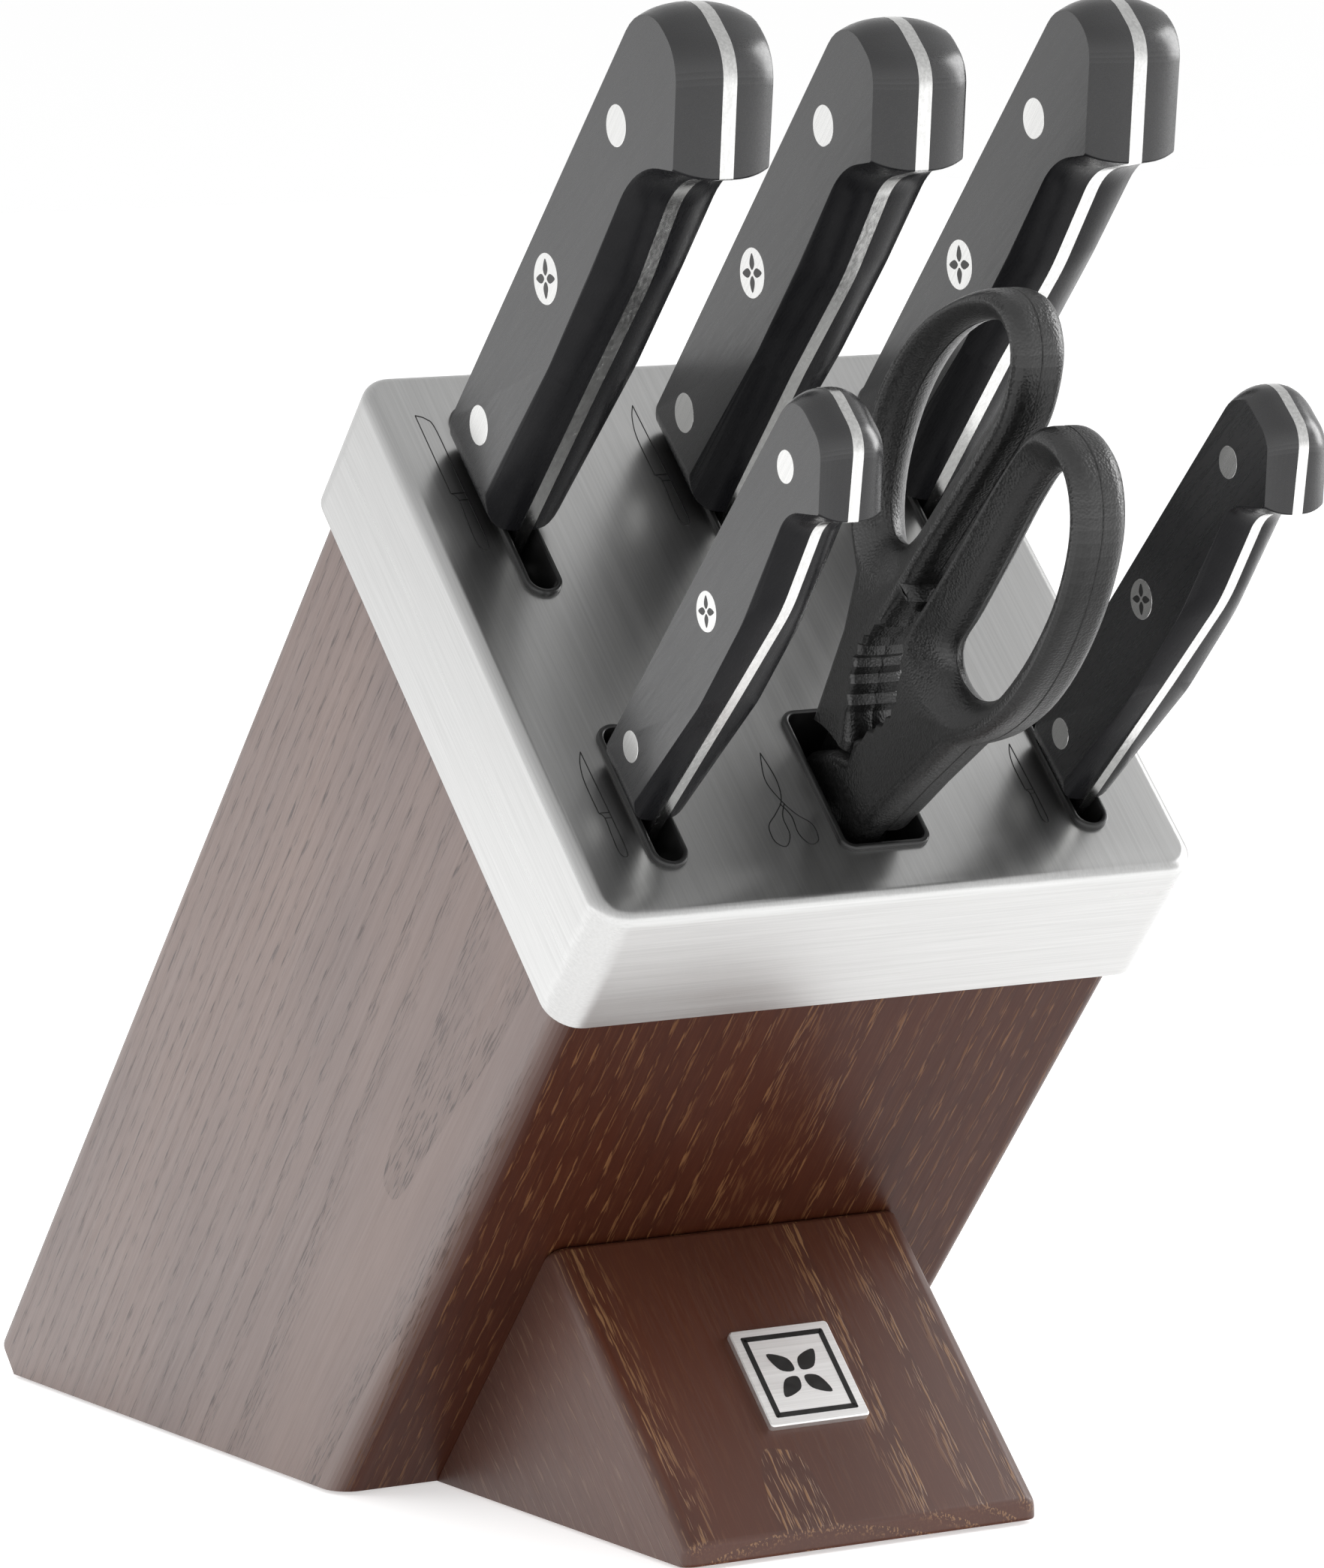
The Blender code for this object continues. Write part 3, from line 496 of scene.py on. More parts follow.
def grained_plastic(name):
    """Moulded black plastic with a fine leathery grain."""
    look = Shading(name, grey(0.01), 0.4)
    look.sheen_above(0.25, 0.85)
    grain = look.node("ShaderNodeTexVoronoi", Scale=1900.0)
    look.link(look.space(), grain.inputs["Vector"])
    cloud = look.noise(look.space(), 900, 3)
    look.rough(look.spread(cloud, 0.28, 0.42))
    look.colour(look.ramp(cloud, [(0.3, grey(0.006)), (0.7, grey(0.013))]))
    look.bump(grain.outputs["Distance"], 0.6, 0.14)
    return look.material


def grey(level):
    return (level, level, level)


def plain_surface(name, low, high, roughness, scale, depth, metallic=0.0):
    """Simple surface with soft colour variation and fine bump."""
    look = Shading(name, low, roughness, metallic)
    cloud = look.noise(look.space(), scale, 3)
    look.colour(look.ramp(cloud, [(0.3, low), (0.7, high)]))
    look.rough(look.spread(cloud, roughness * 0.9, min(1.0, roughness * 1.15)))
    look.bump(cloud, 0.3, depth)
    return look.material


# Front colours are darkened as painted shade, since the body's front faces down. Side colours are
# lightened as painted sheen. The foot's colours are split the same way.
BODY_WOOD = ash_wood("stained_ash_body", 2, LEAN, (-0.004, -0.035, 0), (0.05, 0.0125, 0.0055),
                     (0.158, 0.112, 0.1), (0.14, 0.062, 0.025), (0.036, 0.018, 0.015))
FOOT_WOOD = ash_wood("stained_ash_foot", 1, foot_tilt(), (0.012, 0, 0.03), (0.075, 0.019, 0.007),
                     (0.075, 0.03, 0.02), (0.24, 0.12, 0.05), (0.13, 0.07, 0.045))
CORE_WOOD = ash_wood("plain_core_wood", 2, LEAN, (0, 0, 0), (0.2, 0.12, 0.07), (0.2, 0.12, 0.07),
                     (0.12, 0.07, 0.04), (0.12, 0.07, 0.04))
CAP_STEEL = brushed_steel("brushed_cap_steel", 1, (0.57, 0.57, 0.565), 0.29, front_along=0)
BADGE_STEEL = brushed_steel("brushed_badge_steel", 0, (0.95, 0.95, 0.94), 0.5)
BLADE_STEEL = ground_steel("ground_blade_steel", (0.72, 0.72, 0.71), 0.22)
RIVET_STEEL = brushed_steel("rivet_steel", 2, (0.78, 0.78, 0.77), 0.25, 0.5)
HANDLE_BLACK = handle_plastic("satin_handle_black", 0.27)
GRIP_BLACK = grained_plastic("grained_grip_black")
LINER_BLACK = plain_surface("slot_liner_black", grey(0.008), grey(0.014), 0.3, 300, 0.02)
INK_BLACK = plain_surface("badge_enamel_black", grey(0.01), grey(0.016), 0.35, 500, 0.01)
ETCH_GREY = plain_surface("etched_line_grey", grey(0.03), grey(0.05), 0.5, 600, 0.01, 1.0)
CERAMIC = plain_surface("white_ceramic", (0.72, 0.7, 0.64), (0.8, 0.78, 0.72), 0.6, 900, 0.02)
RUBBER = plain_surface("pad_rubber", grey(0.02), grey(0.035), 0.85, 700, 0.05)


# ---------------------------------------------------------------- block
def wooden_body():
    centre = (0.0, WOOD_DEPTH / 2)
    outline = rectangle(WOOD_WIDTH / 2, WOOD_DEPTH / 2, WOOD_EDGE_RADIUS, centre)
    low = inset(outline, WOOD_END_CHAMFER)
    mesh = skin([at_u(low, WOOD_END), at_u(outline, WOOD_END + WOOD_END_CHAMFER),
                 at_u(outline, TOP - 2.0)])
    floor_normal = Vector((0, sin(LEAN), cos(LEAN)))
    cutting = bmesh.ops.bisect_plane(mesh, geom=mesh.verts[:] + mesh.edges[:] + mesh.faces[:],
                                     plane_co=(0, 0, 0), plane_no=floor_normal, clear_inner=True)
    rim = [item for item in cutting["geom_cut"] if isinstance(item, bmesh.types.BMEdge)]
    bmesh.ops.edgeloop_fill(mesh, edges=rim)
    nodes = ("left_panel", "right_panel", "front_panel", "back_panel")
    body = add_piece("wooden_body", mesh, BODY_WOOD, "block", LEANING, nodes)
    bore = rectangle(WOOD_WIDTH / 2 - SIDE_WALL, WOOD_DEPTH / 2 - FRONT_WALL, 1, centre, 2)
    mesh = skin([at_u(bore, HOLLOW_FLOOR), at_u(bore, TOP + 5)])
    hollow = add_piece("hollow", mesh, None, None, LEANING)
    return cut(body, hollow)


def steel_cap():
    centre = (0.0, WOOD_DEPTH / 2)

    def ring(inward, u):
        radius = CAP_CORNER_RADIUS - inward
        outline = rectangle(CAP_WIDTH / 2 - inward, CAP_DEPTH / 2 - inward, radius, centre, 10)
        return at_u(outline, u)

    rings = []
    for step in range(ARC_STEPS + 1):
        turn = radians(90 - 90 * step / ARC_STEPS)
        rings.append(ring(CAP_TOP_RADIUS * (1 - cos(turn)), TOP - CAP_TOP_RADIUS * (1 - sin(turn))))
    low = TOP - CAP_HEIGHT
    rings += [ring(0, low + 0.25), ring(0.25, low), ring(CAP_SHEET, low)]
    rings += [ring(CAP_SHEET, TOP - 3), ring(CAP_SHEET + 1, TOP - CAP_SHEET)]
    cap = add_piece("cap", skin(rings), CAP_STEEL, "block", LEANING,
                    ("steel_cap",))
    cutters = []
    for x, front, back, half, radius in SLOT_GRID.values():
        outline = rectangle(half - WINDOW_MARGIN, (back - front) / 2 - WINDOW_MARGIN,
                            radius - WINDOW_MARGIN - 0.01, (x, (front + back) / 2))
        mesh = skin([at_u(outline, TOP - 8), at_u(outline, TOP + 5)])
        cutters.append(add_piece("window", mesh, None, None, LEANING))
    cut(cap, *cutters)


def slot_liner(name):
    x, front, back, half, radius = SLOT_GRID[name]
    centre = (x, (front + back) / 2)
    length = (back - front) / 2

    def ring(inward, u):
        corner = radius - inward - 0.01
        return at_u(rectangle(half - inward, length - inward, corner, centre, 10), u)

    high = TOP + RIM_HEIGHT
    rings = [ring(0.5, TOP - LINER_DEPTH), ring(0.5, TOP - 0.1), ring(0, TOP - 0.1)]
    for turn in (0, 30, 60, 90):
        angle = radians(turn)
        rings.append(ring(0.6 * (1 - cos(angle)), high - 0.6 * (1 - sin(angle))))
    for turn in (90, 45, 0):
        angle = radians(turn)
        rings.append(ring(RIM_LIP - 0.45 * (1 - cos(angle)), high - 0.45 * (1 - sin(angle))))
    rings.append(ring(RIM_LIP, TOP - LINER_DEPTH))
    add_piece(f"{name}_liner", skin(rings, loop=True), LINER_BLACK, "block", LEANING,
              (f"{name}_slot_liner",))


def foot_outline(inward):
    """Upright (y, z) outline of the wedge, with its slope and nose moved inwards by a distance."""
    crest_y, crest_z = beside_front(FOOT_TOP - inward)
    nose = (-FOOT_REACH + 0.8 * inward, FOOT_NOSE - 0.6 * inward)
    return rounded([(crest_y, crest_z, 1.6), (*nose, 2.0), (nose[0], 0, 0.8),
                    (-FRONT_GAP / cos(LEAN), 0, 0)])


def foot():
    """Wedge drawn along its slope, so that its grain follows the slope."""
    half = FOOT_WIDTH / 2
    slope = foot_slope()
    to_slope = slope.inverted() @ UPRIGHT
    rings = []
    for turn in (0, 18, 36, 54, 72, 90):
        inward = FOOT_ROUND * (1 - sin(radians(turn)))
        rings.append(at_x(foot_outline(inward), half - FOOT_ROUND * (1 - cos(radians(turn)))))
    rings += [[(-x, y, z) for x, y, z in ring] for ring in reversed(rings)]
    rings = [[to_slope @ (Vector(point) * MM) / MM for point in ring] for ring in rings]
    add_piece("foot", skin(rings), FOOT_WOOD, "block", slope, ("foot_wedge",))


def badge():
    """Steel plate with an enamelled frame line and a plain four-lobed ornament."""
    slope = foot_slope()
    edge = rectangle(BADGE_WIDTH / 2, BADGE_LENGTH / 2, 0.8)
    rings = [at_u(edge, -0.1), at_u(edge, BADGE_THICKNESS - BADGE_BEVEL),
             at_u(inset(edge, BADGE_BEVEL), BADGE_THICKNESS)]
    add_piece("badge_plate", skin(rings), BADGE_STEEL, "block", slope,
              ("badge",))
    line = rectangle(BADGE_WIDTH / 2 - ENAMEL_MARGIN, BADGE_LENGTH / 2 - ENAMEL_MARGIN, 0.4,
                     steps=3)
    inner = inset(line, ENAMEL_LINE)
    high = BADGE_THICKNESS + ENAMEL_PROUD
    rings = [at_u(line, ENAMEL_START), at_u(line, high), at_u(inner, high),
             at_u(inner, ENAMEL_START)]
    add_piece("badge_frame", skin(rings, loop=True), INK_BLACK, "block", slope)
    for index, petal in enumerate(petals(1.15), 1):
        mesh = skin([at_u(petal, ENAMEL_START), at_u(petal, high)])
        add_piece(f"badge_lobe_{index}", mesh, INK_BLACK, "block", slope)


def petals(size, centre=(0.0, 0.0)):
    """Four leaf-shaped outlines around a centre, a plain ornament."""
    outlines = []
    for turn in (45, 135, 225, 315):
        angle = radians(turn)
        leaf = [(1.0, 0.0), (3.2, 1.6), (6.6, 0.0), (3.2, -1.6)]
        turned = [(centre[0] + size * (x * cos(angle) - y * sin(angle)),
                   centre[1] + size * (x * sin(angle) + y * cos(angle))) for x, y in leaf]
        outlines.append(smooth(turned, 5))
    return outlines


# ---------------------------------------------------------------- knives
# Handle corners are (v, u, radius): lower front, front bend, palm swell, hook's underside,
# hook tip, butt, upper back, lower back.
LARGE_FLAT = [(97.9, 8.5, 1.0), (94.3, 48.0, 60.0), (93.8, 75.0, 60.0), (93.75, 102.9, 20.0),
              (81.9, 112.7, 0.8), (94.4, 129.9, 11.0), (112.4, 129.9, 11.2), (118.5, 8.5, 1.0)]
LARGE_MID = [(93.5, 1.5, 1.0), (91.5, 44.0, 60.0), (89.8, 75.0, 60.0), (91.6, 101.2, 17.0),
             (79.2, 112.7, 0.6), (93.1, 131.6, 11.0), (114.4, 131.6, 12.0), (120.6, 1.5, 1.0)]
MIDDLE_FLAT = [(100.5, 7.2, 1.0), (96.6, 46.0, 60.0), (95.8, 72.0, 60.0), (96.0, 98.0, 16.0),
               (88.0, 107.0, 0.8), (101.1, 124.9, 8.5), (115.0, 124.9, 9.0), (119.8, 7.2, 1.0)]
MIDDLE_MID = [(95.0, 1.5, 1.0), (94.0, 43.0, 60.0), (92.2, 72.0, 60.0), (93.8, 97.0, 13.0),
              (85.3, 107.1, 0.6), (99.6, 126.5, 9.0), (117.0, 126.5, 9.5), (122.0, 1.5, 1.0)]
SHORT_FLAT = (MIDDLE_FLAT[:4] + [(88.4, 106.7, 0.8), (99.4, 121.2, 8.5), (115.2, 121.2, 9.5)]
              + MIDDLE_FLAT[-1:])
SHORT_MID = (MIDDLE_MID[:4] + [(85.8, 106.5, 0.6), (97.8, 122.8, 9.0), (117.2, 122.8, 10.5)]
             + MIDDLE_MID[-1:])
SMALL_FLAT = [(19.9, 5.8, 0.8), (14.2, 40.0, 40.0), (13.0, 64.0, 50.0), (15.0, 92.3, 9.0),
              (6.3, 100.7, 0.7), (14.2, 111.2, 6.5), (28.3, 111.2, 7.0), (35.1, 5.8, 0.8)]
SMALL_MID = [(18.4, 1.5, 0.8), (13.2, 43.0, 40.0), (10.6, 70.0, 45.0), (12.8, 91.9, 8.0),
             (4.5, 100.4, 0.5), (13.0, 113.9, 7.0), (29.9, 113.9, 8.0), (36.6, 1.5, 0.8)]
LARGE_LENGTH = 205.0

# Half a handle's thickness at the slot, and what it gains per millimetre up
LARGE_HALF = (9.2, 0.008)
SMALL_HALF = (6.0, 0.0045)

# How far a ring has gone from the middle outline to the flat one: thickness, sides, lower end
CROWN = [(0.0, 0.0, 0.0), (0.2, 0.04, 0.0), (0.4, 0.15, 0.01), (0.55, 0.29, 0.05),
         (0.7, 0.47, 0.17), (0.82, 0.66, 0.37), (0.92, 0.84, 0.66), (0.985, 0.965, 0.93),
         (1.0, 1.02, 1.02)]


def shifted(corners, dv, du):
    """Handle corners moved, with the lower end kept at its height above the slot."""
    lower = min(u for _, u, _ in corners)
    return [(v + dv, u if u == lower else u + du, radius) for v, u, radius in corners]


def handle_ring(mid, flat, sides, lower):
    last = len(mid) - 1
    blend = []
    for index, (start, end) in enumerate(zip(mid, flat)):
        share_u = lower if index in (0, last) else sides
        v = start[0] + (end[0] - start[0]) * sides
        u = start[1] + (end[1] - start[1]) * share_u
        blend.append((v, u, start[2] + (end[2] - start[2]) * sides))
    return rounded(blend)


def knife(name, mid, flat, rivets, half, tang, blade):
    """One knife in its slot: two handle scales, three rivets (v, u, radius), tang and blade.

    blade is its edge's v, its length below the slot, and the function that draws its edge.
    """
    x = SLOT_GRID[name][0]
    seat = ON_TOP @ Matrix.Translation((x * MM, 0, 0))
    body = f"{name}_knife"
    base_half, growth = half
    inner = tang / 2
    for side_name, side in (("left", -1), ("right", 1)):
        rings = []
        for depth, sides, lower in CROWN:
            ring = []
            for point in inset(handle_ring(mid, flat, sides, lower), HANDLE_INSET):
                outer = base_half + growth * point.y
                ring.append((side * (inner + (outer - inner) * depth), point.x, point.y))
            rings.append(ring)
        add_piece(f"{name}_handle_{side_name}", skin(rings), HANDLE_BLACK, body, seat,
                  (f"{name}_scale_{side_name}",), sharp=HANDLE_SHARP_ANGLE)
    side_bevel, end_bevel = RIVET_CHAMFER
    for index, (v, u, radius) in enumerate(rivets, 1):
        reach = base_half + growth * u + RIVET_PROUD
        face = circle(radius, (v, u))
        rim = circle(radius - side_bevel, (v, u))
        rings = [at_x(rim, -reach), at_x(face, end_bevel - reach), at_x(face, reach - end_bevel),
                 at_x(rim, reach)]
        add_piece(f"{name}_pin_{index}", skin(rings), RIVET_STEEL, body, seat,
                  (f"{name}_rivet_{index}",))
    v, u, radius = rivets[1]
    reach = base_half + growth * u + RIVET_PROUD
    for side_name, side in (("left", -1), ("right", 1)):
        for index, petal in enumerate(petals(radius * 0.115, (v, u)), 1):
            rings = [at_x(petal, side * (reach - 0.1)), at_x(petal, side * (reach + 0.03))]
            add_piece(f"{name}_{side_name}_pin_lobe_{index}", skin(rings), INK_BLACK, body, seat)
    knife_plate(name, body, mid, tang, blade, seat)


def knife_plate(name, body, mid, tang, blade, seat):
    """Tang and blade in one plate, with the blade's cheeks ground from spine to edge."""
    edge_v, length, edge_points = blade
    spine_v = mid[-1][0]
    heel = (mid[0][0] + 0.3, BLADE_START + 1.0, 0)
    outline = inset(rounded([heel] + mid[1:-1] + [(spine_v, BLADE_START / 2, 0)]), TANG_INSET)
    outline += edge_points(edge_v, spine_v, length)
    mesh = skin([at_x(outline, -tang / 2), at_x(outline, tang / 2)])
    plate = add_piece(f"{name}_plate", mesh, BLADE_STEEL, body, seat,
                      (f"{name}_blade",))
    near_edge = EDGE_THICKNESS / 2
    near_spine = SPINE_THICKNESS / 2
    slope = (near_spine - near_edge) / (spine_v - edge_v)
    corners = [(near_edge - 4 * slope, edge_v - 4), (near_spine + 6 * slope, spine_v + 6),
               (8, spine_v + 6), (8, edge_v - 4)]
    cheeks = []
    for side in (-1, 1):
        section = [Vector((side * a, b)) for a, b in corners]
        mesh = skin([at_u(section, -length - 30), at_u(section, BLADE_START)])
        cheeks.append(add_piece("cheek", mesh, None, None, seat))
    cut(plate, *cheeks)


def chef_edge(edge_v, spine_v, length):
    """Spine to tip to heel: deep heel and a belly that sweeps up to the point."""
    depth = spine_v - edge_v
    tip = (spine_v - 0.24 * depth, -length)
    sweep = smooth([tip, (edge_v + 0.33 * depth, -length * 0.85),
                    (edge_v + 0.1 * depth, -length * 0.6),
                    (edge_v + 0.02 * depth, -length * 0.3), (edge_v, HEEL_END)], closed=False)
    return [Vector((spine_v - 0.04 * depth, -length * 0.55))] + sweep


def slicer_edge(edge_v, spine_v, length):
    """Long slender blade with a straight edge that rises to a point near the spine."""
    depth = spine_v - edge_v
    tip = (spine_v - 0.16 * depth, -length)
    sweep = smooth([tip, (edge_v + 0.3 * depth, -length * 0.9),
                    (edge_v + 0.07 * depth, -length * 0.74),
                    (edge_v + 0.02 * depth, -length * 0.4), (edge_v, HEEL_END)], closed=False)
    return [Vector((spine_v - 0.03 * depth, -length * 0.6))] + sweep


def serrated_edge(edge_v, spine_v, length):
    """Even blade with scallops along its edge and a blunt rounded end."""
    points = [Vector((spine_v - 1, -length + 14))]
    points += smooth([(spine_v - 7, -length + 2), (edge_v + 14, -length),
                      (edge_v + 5, -length + 8)], 5, closed=False)
    pitch = 9.0
    count = int((length - 26) / pitch)
    for index in range(count):
        u = -length + 13 + index * pitch
        points += [Vector((edge_v, u)), Vector((edge_v + 0.8, u + pitch * 0.25)),
                   Vector((edge_v + 1.1, u + pitch / 2)), Vector((edge_v + 0.8, u + pitch * 0.75))]
    points.append(Vector((edge_v, HEEL_END)))
    return points


# ---------------------------------------------------------------- shears
# Curves of (v, u).  LOOP: outer edge of a finger loop, open towards the pivot.  HOLE: the
# loop's opening at the flat sides.  WAIST: the same opening at its narrowest, halfway through.
FRONT_LOOP = [(26.6, 45.5), (25.4, 54.0), (24.1, 70.6), (22.6, 91.8), (20.0, 105.5), (14.0, 111.2),
              (4.1, 111.5), (-4.6, 104.5), (-9.8, 92.0), (-11.8, 77.1), (-10.6, 62.5), (-6.2, 49.6),
              (0.6, 38.8)]
FRONT_HOLE = [(22.6, 46.5), (21.6, 56.0), (20.4, 74.0), (19.8, 91.0), (17.9, 103.0), (10.0, 108.2),
              (2.4, 106.4), (-3.6, 99.4), (-7.3, 87.0), (-7.6, 71.0), (-4.6, 56.0), (2.0, 44.6),
              (11.0, 40.2), (19.6, 41.0)]
BACK_LOOP = [(47.5, 37.6), (55.5, 43.5), (61.5, 55.0), (65.0, 72.0), (63.6, 86.5), (58.4, 99.6),
             (49.6, 112.5), (40.5, 117.1), (31.6, 112.8), (26.6, 101.0), (27.0, 88.0), (29.0, 69.2),
             (30.4, 55.0)]
BACK_HOLE = [(37.8, 45.8), (46.5, 42.5), (54.0, 47.5), (59.5, 58.5), (61.8, 74.0), (59.6, 89.5),
             (53.5, 102.6), (44.5, 112.0), (35.6, 112.0), (30.4, 103.0), (31.0, 90.0), (33.2, 71.0),
             (34.6, 54.0)]
FRONT_WAIST = [(16.6, 50.0), (16.0, 58.5), (15.6, 74.0), (15.4, 90.0), (13.8, 100.0), (9.0, 105.2),
               (3.4, 104.0), (-2.2, 97.8), (-5.6, 86.5), (-5.9, 71.0), (-3.0, 58.0), (3.2, 48.8),
               (9.0, 46.0), (13.8, 46.4)]
BACK_WAIST = [(41.8, 50.5), (47.0, 47.6), (52.5, 51.5), (57.0, 61.0), (59.4, 74.0),
              (57.4, 88.5), (52.0, 100.5), (44.2, 108.6), (38.0, 108.0), (34.6, 101.0),
              (35.2, 90.0), (37.4, 71.5), (39.2, 58.0)]


def toothed(points, count, depth):
    """Edge along an open curve with a row of small teeth standing into the gap."""
    fine = smooth(points, 12, closed=False)
    last = len(fine) - 1
    spread_out = [fine[int(index * last / (2 * count))] for index in range(2 * count + 1)]
    result = []
    for index, here in enumerate(spread_out):
        before = spread_out[max(index - 1, 0)]
        after = spread_out[min(index + 1, len(spread_out) - 1)]
        run = (after - before).normalized()
        push = depth if index % 2 else 0.0
        result.append(here + Vector((run.y, -run.x)) * push)
    return result


def grip(name, outline, teeth, hole, side, body, seat, node):
    """Moulded loop handle, full and rounded, with a fine parting groove; halved where it laps.

    teeth holds the first and last index of the toothed edge, which is rounded less.
    hole is the loop's opening at the flat sides and at its narrower waist halfway through.
    side is the side of the middle plane, -1 or 1, on which the lapped part stays.
    """
    half = GRIP_HALF_THICKNESS
    outline = inset(outline, GRIP_INSET)
    first, last = teeth

    def ring(inward, x):
        moved = inset(outline, inward)
        moved[first:last] = [here.lerp(there, 0.3)
                             for here, there in zip(outline[first:last], moved[first:last])]
        return at_x(moved, x)

    rings = []
    for turn in (0, 20, 40, 60, 76, 90):
        angle = radians(turn)
        rings.append(ring(2.3 * (1 - sin(angle)), half - 3.6 * (1 - cos(angle))))
    groove_depth, groove_half = GROOVE
    rings += [ring(0, groove_half), ring(groove_depth, 0)]
    rings += [[(-x, v, u) for x, v, u in layer] for layer in reversed(rings[:-1])]
    made = add_piece(name, skin(rings), GRIP_BLACK, body, seat, (node,))
    hole_rings = []
    for depth, share, flare in ((-0.01, 0.0, 1.2), (0.25, 0.0, 0.55), (0.8, 0.08, 0.0),
                                (1.7, 0.4, 0.0), (2.9, 0.72, 0.0), (4.2, 0.93, 0.0),
                                (half - groove_half, 1.0, 0.0), (half, 1.0, groove_depth)):
        level = [face.lerp(waist, share) for face, waist in zip(*hole)]
        hole_rings.append(at_x(inset(level, -flare), half - depth))
    hole_rings += [[(-x, v, u) for x, v, u in layer] for layer in reversed(hole_rings[:-1])]
    opening = add_piece("opening", skin(hole_rings), None, None, seat)
    lap = circle(LAP_RADIUS, (0, 0), 96)
    mesh = skin([at_x(lap, side * LAP_GAP), at_x(lap, -side * LAP_REACH)])
    cut(made, opening, add_piece("lap", mesh, None, None, seat), sharp=GRIP_SHARP_ANGLE)


def shears():
    """Both grips, drawn about their pivot; a nutcracker's teeth face each other above it."""
    seat = ON_TOP @ Matrix.Translation((0, PIVOT_V * MM, PIVOT_U * MM))

    def about_pivot(points):
        return [Vector((v - PIVOT_V, u - PIVOT_U)) for v, u in points]

    def hole_of(face, waist):
        return smooth(about_pivot(face), 5), smooth(about_pivot(waist), 5)

    front = smooth(about_pivot(FRONT_LOOP), 5, closed=False)
    front += smooth(about_pivot([(6.0, 20.5), (8.6, 10.5), (11.2, 0.5), (13.0, -14.0),
                                 (17.5, -27.0)]), 3, closed=False)
    front += about_pivot([(32.0, -27.0), (38.3, -15.0), (36.5, -3.0), (31.0, 3.5), (25.0, 8.0)])
    front_teeth = len(front)
    front += toothed(about_pivot([(24.9, 12.0), (22.3, 19.0), (19.7, 25.0), (19.3, 30.5),
                                  (22.9, 38.5), (25.6, 42.6)]), 8, TEETH_DEPTH)
    back = smooth(about_pivot(BACK_LOOP), 5, closed=False)
    back += about_pivot([(30.6, 51.5), (26.7, 51.0), (26.9, 47.6), (31.0, 46.6)])
    back_teeth = len(back)
    back += toothed(about_pivot([(32.5, 39.3), (34.7, 32.2), (35.2, 27.0), (33.3, 21.4),
                                 (30.0, 15.5)]), 7, TEETH_DEPTH)
    back_teeth = (back_teeth, len(back))
    back += about_pivot([(26.0, 11.0), (25.6, 8.0), (20.5, 3.5), (15.5, -3.0), (13.7, -15.0),
                         (19.5, -27.0), (34.0, -27.0), (38.8, -14.0), (39.9, 3.5), (43.5, 26.0)])
    grip("front_grip", front, (front_teeth, len(front)), hole_of(FRONT_HOLE, FRONT_WAIST), -1,
         "shears_front_half", seat, "shears_front_grip")
    grip("back_grip", back, back_teeth, hole_of(BACK_HOLE, BACK_WAIST), 1,
         "shears_back_half", seat, "shears_back_grip")


# ---------------------------------------------------------------- etched signs
def etched_lines(name, runs, place, length):
    """Thin etched outline of a knife or shears beside its slot; runs are shares of its length."""
    data = bpy.data.curves.new(name, "CURVE")
    data.dimensions = "3D"
    data.bevel_depth = 0.12 * MM
    data.bevel_resolution = 1
    for run in runs:
        spline = data.splines.new("POLY")
        points = smooth(run, 5, closed=False)
        spline.points.add(len(points) - 1)
        for spot, point in zip(spline.points, points):
            flat = Vector((place[0] + point.x * length, place[1] + point.y * length, 0)) * MM
            spot.co = (*(ON_TOP @ flat), 1.0)
    sign = bpy.data.objects.new(name, data)
    bpy.context.scene.collection.objects.link(sign)
    data.materials.append(ETCH_GREY)
    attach(sign, "block")


GRIP_SIGN = [[(0.085, 0.42), (0.085, 0.06), (0.05, 0.0), (0.02, 0.05), (0.022, 0.2), (0.03, 0.37),
              (0.0, 0.42)],
             [(0.0, 0.42), (0.085, 0.42)], [(0.03, 0.37), (0.085, 0.37)]]
BREAD_SIGN = GRIP_SIGN + [[(0.085, 0.42), (0.085, 0.88), (0.055, 0.97), (0.0, 1.0)],
                          [(0.0, 1.0), (0.0, 0.42)]]
POINTED_SIGN = GRIP_SIGN + [[(0.0, 0.42), (0.0, 0.72), (0.03, 0.89), (0.075, 1.0)],
                            [(0.075, 1.0), (0.085, 0.42)]]
SHEARS_SIGN = [[(0.04, 1.0), (-0.03, 0.72), (0.02, 0.5), (0.1, 0.34), (0.2, 0.22), (0.19, 0.06),
                (0.1, 0.02), (0.04, 0.14), (0.05, 0.32), (0.0, 0.46)],
               [(0.04, 1.0), (0.07, 0.72), (0.03, 0.5), (-0.08, 0.36), (-0.19, 0.24), (-0.2, 0.08),
                (-0.12, 0.02), (-0.04, 0.14), (-0.03, 0.32), (0.04, 0.46)]]
SIGNS = {
    # name: (drawing, lower left corner (x, v), length)
    "bread_sign": (BREAD_SIGN, (-57.6, 91.0), 36.7),
    "carving_sign": (POINTED_SIGN, (-11.4, 94.3), 33.0),
    "chef_sign": (POINTED_SIGN, (35.2, 95.0), 32.7),
    "utility_sign": (POINTED_SIGN, (-57.2, 11.8), 26.5),
    "paring_sign": (POINTED_SIGN, (36.0, 11.2), 20.5),
    "shears_sign": (SHEARS_SIGN, (-18.4, 10.5), 24.0),
}


# ---------------------------------------------------------------- assembly
wooden_body()
steel_cap()
for slot_name in SLOT_GRID:
    slot_liner(slot_name)
foot()
badge()

